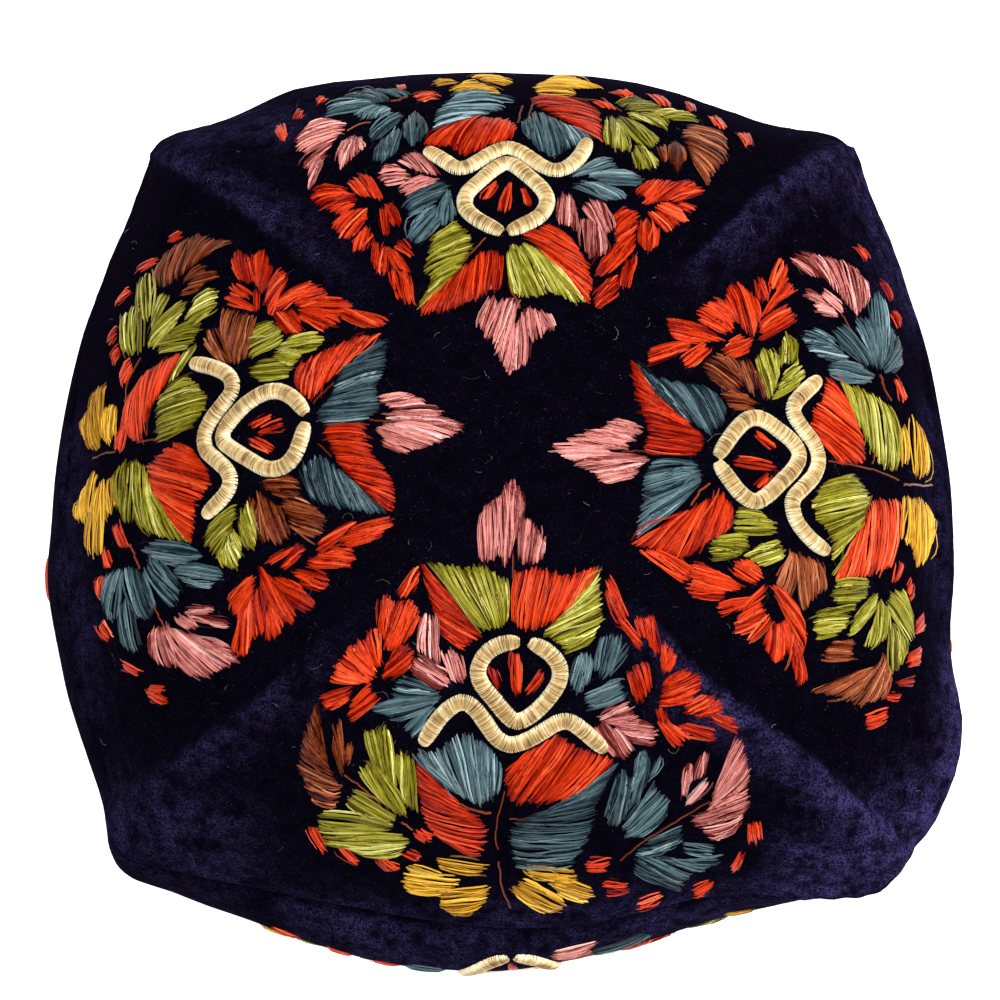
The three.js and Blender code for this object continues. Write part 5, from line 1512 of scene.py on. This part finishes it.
# Band embroidery. Leaves, petals and border dashes in the same silks and the same stitch as the crown's,
# round one ring on each side of the band. They are charted in millimetres along the side and above the hem,
# and reach higher on the front side.
FRONT_BAND_PETALS = {
    "poppy": (
        ((-44, 28, -43.6, 26), (-38.6, 27.4, -38.6, 25.4)),
        ((-34, 26.6, -33.6, 24.6), (-28.6, 26, -28.8, 24)),
        ((-25, 25.6, -24.6, 23.6), (-19.8, 25, -20, 23)), ((0.2, 31, 0.9, 29), (0.4, 25, 1.4, 24)),
        ((1, 9.6, 9, 12.4, 16, 9), (1, 2.6, 4, 2, 10, 3.6)),
        ((-27, 20.6, -22, 21.6), (-24, 14.6, -20.5, 15.6)),
        ((-33, 16.6, -28, 19), (-25.5, 11.6, -23.5, 14)), ((28, 26, 23, 27.5), (25, 20, 21.5, 21)),
        ((34, 21, 29, 23.4), (26.5, 16, 24.5, 18.6)), ((-27, 3, -26, 4.8), (-21.5, 2.6, -21.5, 4.2)),
        ((-34, 4.6, -33, 6.4), (-29, 3.4, -28.5, 5)), ((-41, 7, -40, 8.6), (-36.5, 5, -36, 6.6)),
        ((41, 7, 40, 8.6), (36.5, 5, 36, 6.6)), ((34, 4.6, 33, 6.4), (29, 3.4, 28.5, 5)),
    ),
    "leaf": (
        ((-42, 19, -38, 22), (-35, 13, -33.5, 16)), ((-43, 12, -43.5, 16), (-35, 10, -35, 12.4)),
        ((43, 23, 39, 26), (36, 17, 34.5, 20)), ((44, 14, 44.5, 18), (36, 11.5, 36, 14)),
    ),
    "slate": (
        ((-18.6, 27, -19.4, 22), (-11.6, 25.2, -12, 21)),
        ((-1.5, 9.6, -9.5, 12.4, -17, 9), (-1, 2.6, -5, 2, -12, 3.6)),
        ((14.6, 26.2, 15.6, 30.4), (28, 29.6, 26, 33)), ((32, 8, 30.5, 12), (21.5, 7, 22.5, 10.6)),
    ),
    "rose": (
        ((7.8, 29.8, 8.2, 32.6), (15.6, 30.8, 17, 33.8)),
        ((10.6, 27, 8.2, 29.2), (16.6, 29.2, 15.4, 30.6)),
        ((-13.4, 24, -17, 20.6), (-12.6, 19.4, -15.6, 18.4)),
        ((25, 13.6, 24, 18), (14.6, 18.4, 15, 20.4)),
    ),
    "russet": (((-31, 8, -30, 12), (-22, 5.6, -22.5, 9)), ((31, 13.4, 30, 17), (23, 12, 23.5, 14.4))),
    "saffron": (((-47, 20, -46, 23), (-41, 22, -40.5, 25)), ((48, 25, 47, 28), (42, 27, 41.5, 30))),
}
SIDE_BAND_PETALS = {
    "poppy": (
        ((-27, 17, -22, 18), (-24, 12, -20.5, 13)), ((-33, 13.6, -28, 15.6), (-25.5, 9.6, -23.5, 11.8)),
        ((28, 16.6, 23, 17.6), (25, 12, 21.5, 12.8)), ((34, 13.4, 29, 15.4), (26.5, 9.8, 24.5, 11.8)),
        ((1, 4.2, 8, 6.4, 14, 4.2), (1, 1.6, 4, 1.4, 9, 1.6)),
        ((-27, 2.2, -26, 3.8), (-21.5, 2, -21.5, 3.4)),
        ((-34, 3.4, -33, 5), (-29, 2.6, -28.5, 4)), ((-41, 5.4, -40, 7), (-36.5, 4, -36, 5.4)),
        ((41, 5.4, 40, 7), (36.5, 4, 36, 5.4)), ((34, 3.4, 33, 5), (29, 2.6, 28.5, 4)),
        ((-0.6, 18, 0.4, 17), (-0.5, 13.4, 0.5, 12.6)), ((2.5, 21.4, 9.6, 19.6), (3, 20.9, 6.6, 20.2)),
    ),
    "leaf": (
        ((-42, 15, -38, 17.4), (-35, 10.6, -33.5, 12.8)), ((-43, 9.6, -43.5, 12.6), (-35, 8, -35, 10)),
        ((43, 15, 39, 17.4), (36, 10.6, 34.5, 12.8)), ((44, 9.6, 44.5, 12.6), (36, 8, 36, 10)),
    ),
    "slate": (
        ((-18.6, 18, -19.4, 14.4), (-11.6, 16.6, -12, 13.4)),
        ((-1.5, 4.2, -8, 6.4, -14, 4.2), (-1, 1.6, -4, 1.4, -9, 1.6)),
        ((20, 5, 19.4, 8.4), (29, 5, 28.4, 7.6)),
    ),
    "rose": (
        ((12.6, 19, 17, 18.4), (11.4, 16, 14, 12.6)),
        ((-13.2, 12.4, -17.4, 12.4), (-11.6, 9.8, -14.6, 9.4)),
        ((20, 10, 19.4, 12.6), (12.6, 10.4, 13, 12.2)),
    ),
    "russet": (((-31, 6, -30, 9), (-22, 4.2, -22.5, 6.8)), ((31, 8.4, 30, 11), (23, 7.6, 23.5, 9.6))),
    "saffron": (((-47, 16, -46, 18.4), (-41, 17.6, -40.5, 20)), ((48, 16, 47, 18.4), (42, 17.6, 41.5, 20))),
}
# The odd petals near the seam that still show at the left and right edges from above.
EDGE_PETALS = (
    ("left", ((10, 28.4, 10.4, 25.6), (19, 27.6, 18.8, 25))),
    ("right", ((-28.6, 26.4, -28.4, 24.6), (-25.4, 26, -25.6, 24.2))),
)
for silk in SILK_SHADES:
    threads = new_threads()
    for field in FIELD_TURNS:
        petals = FRONT_BAND_PETALS if field == "front" else SIDE_BAND_PETALS
        for starts, ends in petals[silk]:
            lay_petal(starts, ends, band_seat, field, chance, threads)
    if silk == "poppy":
        for field, (starts, ends) in EDGE_PETALS:
            lay_petal(starts, ends, band_seat, field, chance, threads)
    settle(embroider(silk + "_stitches_band", silks[silk], threads), silk + "_silk")

# Lint. Short pale fibres and curls that the velvet has picked up in wear. They lie loose on the crown,
# held by nothing but its pile. Where they lie, their steps and their lift are in millimetres.
LINT_COUNT = 420
LINT_RADIUS = 0.018 * MM
LINT_ACROSS = (-60, 60)
LINT_OUT = (2, 74)
LINT_STEPS = (3, 3, 4, 4, 5, 7, 10)
LINT_STEP = 0.34
LINT_LIFT = (0.08, 0.22)
LINT_BEND = 0.22
LINT_CURL = 0.12
LINT_GIRTH = (0.7, 1.4)
LINT_MOSTLY_DULL = 1.6
LINT_DULL = (0.05, 0.045, 0.05, 1.0)
LINT_PALE = (0.42, 0.40, 0.40, 1.0)


def lint_finish():
    finish, tree, surface = new_finish("pale_lint")
    wire(tree, blend(tree, attribute(tree, "shade"), LINT_DULL, LINT_PALE), surface.inputs["Base Color"])
    set_surface(surface, Roughness=0.8)
    return finish


lint = new_threads()
for number in range(LINT_COUNT):
    field = chance.choice(list(FIELD_TURNS))
    heading = chance.uniform(0, 2 * math.pi)
    bend = chance.gauss(0, LINT_BEND)
    at = Vector((chance.uniform(*LINT_ACROSS), chance.uniform(*LINT_OUT))) * MM
    tone = chance.uniform(0.0, 1.0) ** LINT_MOSTLY_DULL
    path, lies = [], []
    for step in range(chance.choice(LINT_STEPS)):
        spot, normal = crown_seat(field, at)
        path.append(spot + normal * chance.uniform(*LINT_LIFT) * MM)
        lies.append(normal)
        at = at + Vector((math.cos(heading), math.sin(heading))) * LINT_STEP * MM
        heading += bend + chance.gauss(0, LINT_CURL)
    count = len(path)
    lay_strand(path, lies, [0.0] * count, [chance.uniform(*LINT_GIRTH)] * count, [tone] * count, lint)
settle(embroider("lint_fibres", lint_finish(), lint, 1, LINT_RADIUS), "lint")

# Floor. A plain pale sheet of paper that the hem stands on.
# It is lit from within a little, so that it stays even behind the cap.
FLOOR_REACH = 4.0
FLOOR_GLOW = 0.70
FLOOR_COLOUR = (0.93, 0.93, 0.93, 1.0)
WHITE = (1.0, 1.0, 1.0, 1.0)
FLOOR_CORNERS = ((-1, -1), (1, -1), (1, 1), (-1, 1))
floor_mesh = bpy.data.meshes.new("floor")
floor_mesh.from_pydata([(x * FLOOR_REACH, y * FLOOR_REACH, 0) for x, y in FLOOR_CORNERS], [], [(0, 1, 2, 3)])
floor = place("floor", floor_mesh)
floor_finish, floor_surface = new_finish("pale_floor")[::2]
set_surface(floor_surface, Base_Color=FLOOR_COLOUR, Roughness=0.9, Specular_IOR_Level=0.1,
            Emission_Color=WHITE, Emission_Strength=FLOOR_GLOW)
floor_mesh.materials.append(floor_finish)

# Light. A broad soft panel overhead and a weaker, smaller one on the right, both turned to the crown,
# in a dim white room.
ROOM_LIGHT = 0.32
LIT_SPOT = Vector((0, 0, 0.05))


def panel(name, spot, size, power):
    lamp = bpy.data.lights.new(name, "AREA")
    lamp.shape = "SQUARE"
    lamp.size = size
    lamp.energy = power
    holder = place(name, lamp)
    holder.location = spot
    holder.rotation_euler = (LIT_SPOT - Vector(spot)).to_track_quat("-Z", "Y").to_euler()


panel("overhead_panel", spot=(0.02, -0.05, 1.5), size=0.8, power=25.0)
panel("right_panel", spot=(1.0, 0.05, 0.9), size=0.5, power=8.0)
room = bpy.data.worlds.new("white_room")
room.use_nodes = True
set_surface(room.node_tree.nodes["Background"], Color=WHITE, Strength=ROOM_LIGHT)
bpy.context.scene.world = room
bpy.context.scene.view_settings.view_transform = "Standard"

# Camera. It looks down on the cap from nearly straight above, a little from the front side,
# through a long lens.
CAMERA_SPOT = Vector((-0.00041, -0.13137, 0.6463))
CAMERA_TARGET = Vector((-0.00041, -0.00142, 0.0503))
CAMERA_ROLL = 0.28
CAMERA_SENSOR = 36.0
CAMERA_LENS = 119.9
lens = bpy.data.cameras.new("camera")
lens.sensor_width = CAMERA_SENSOR
lens.lens = CAMERA_LENS
camera = place("camera", lens)
camera.location = CAMERA_SPOT
aim = (CAMERA_TARGET - CAMERA_SPOT).to_track_quat("-Z", "Y").to_euler()
aim.rotate_axis("Z", math.radians(CAMERA_ROLL))
camera.rotation_euler = aim
bpy.context.scene.camera = camera
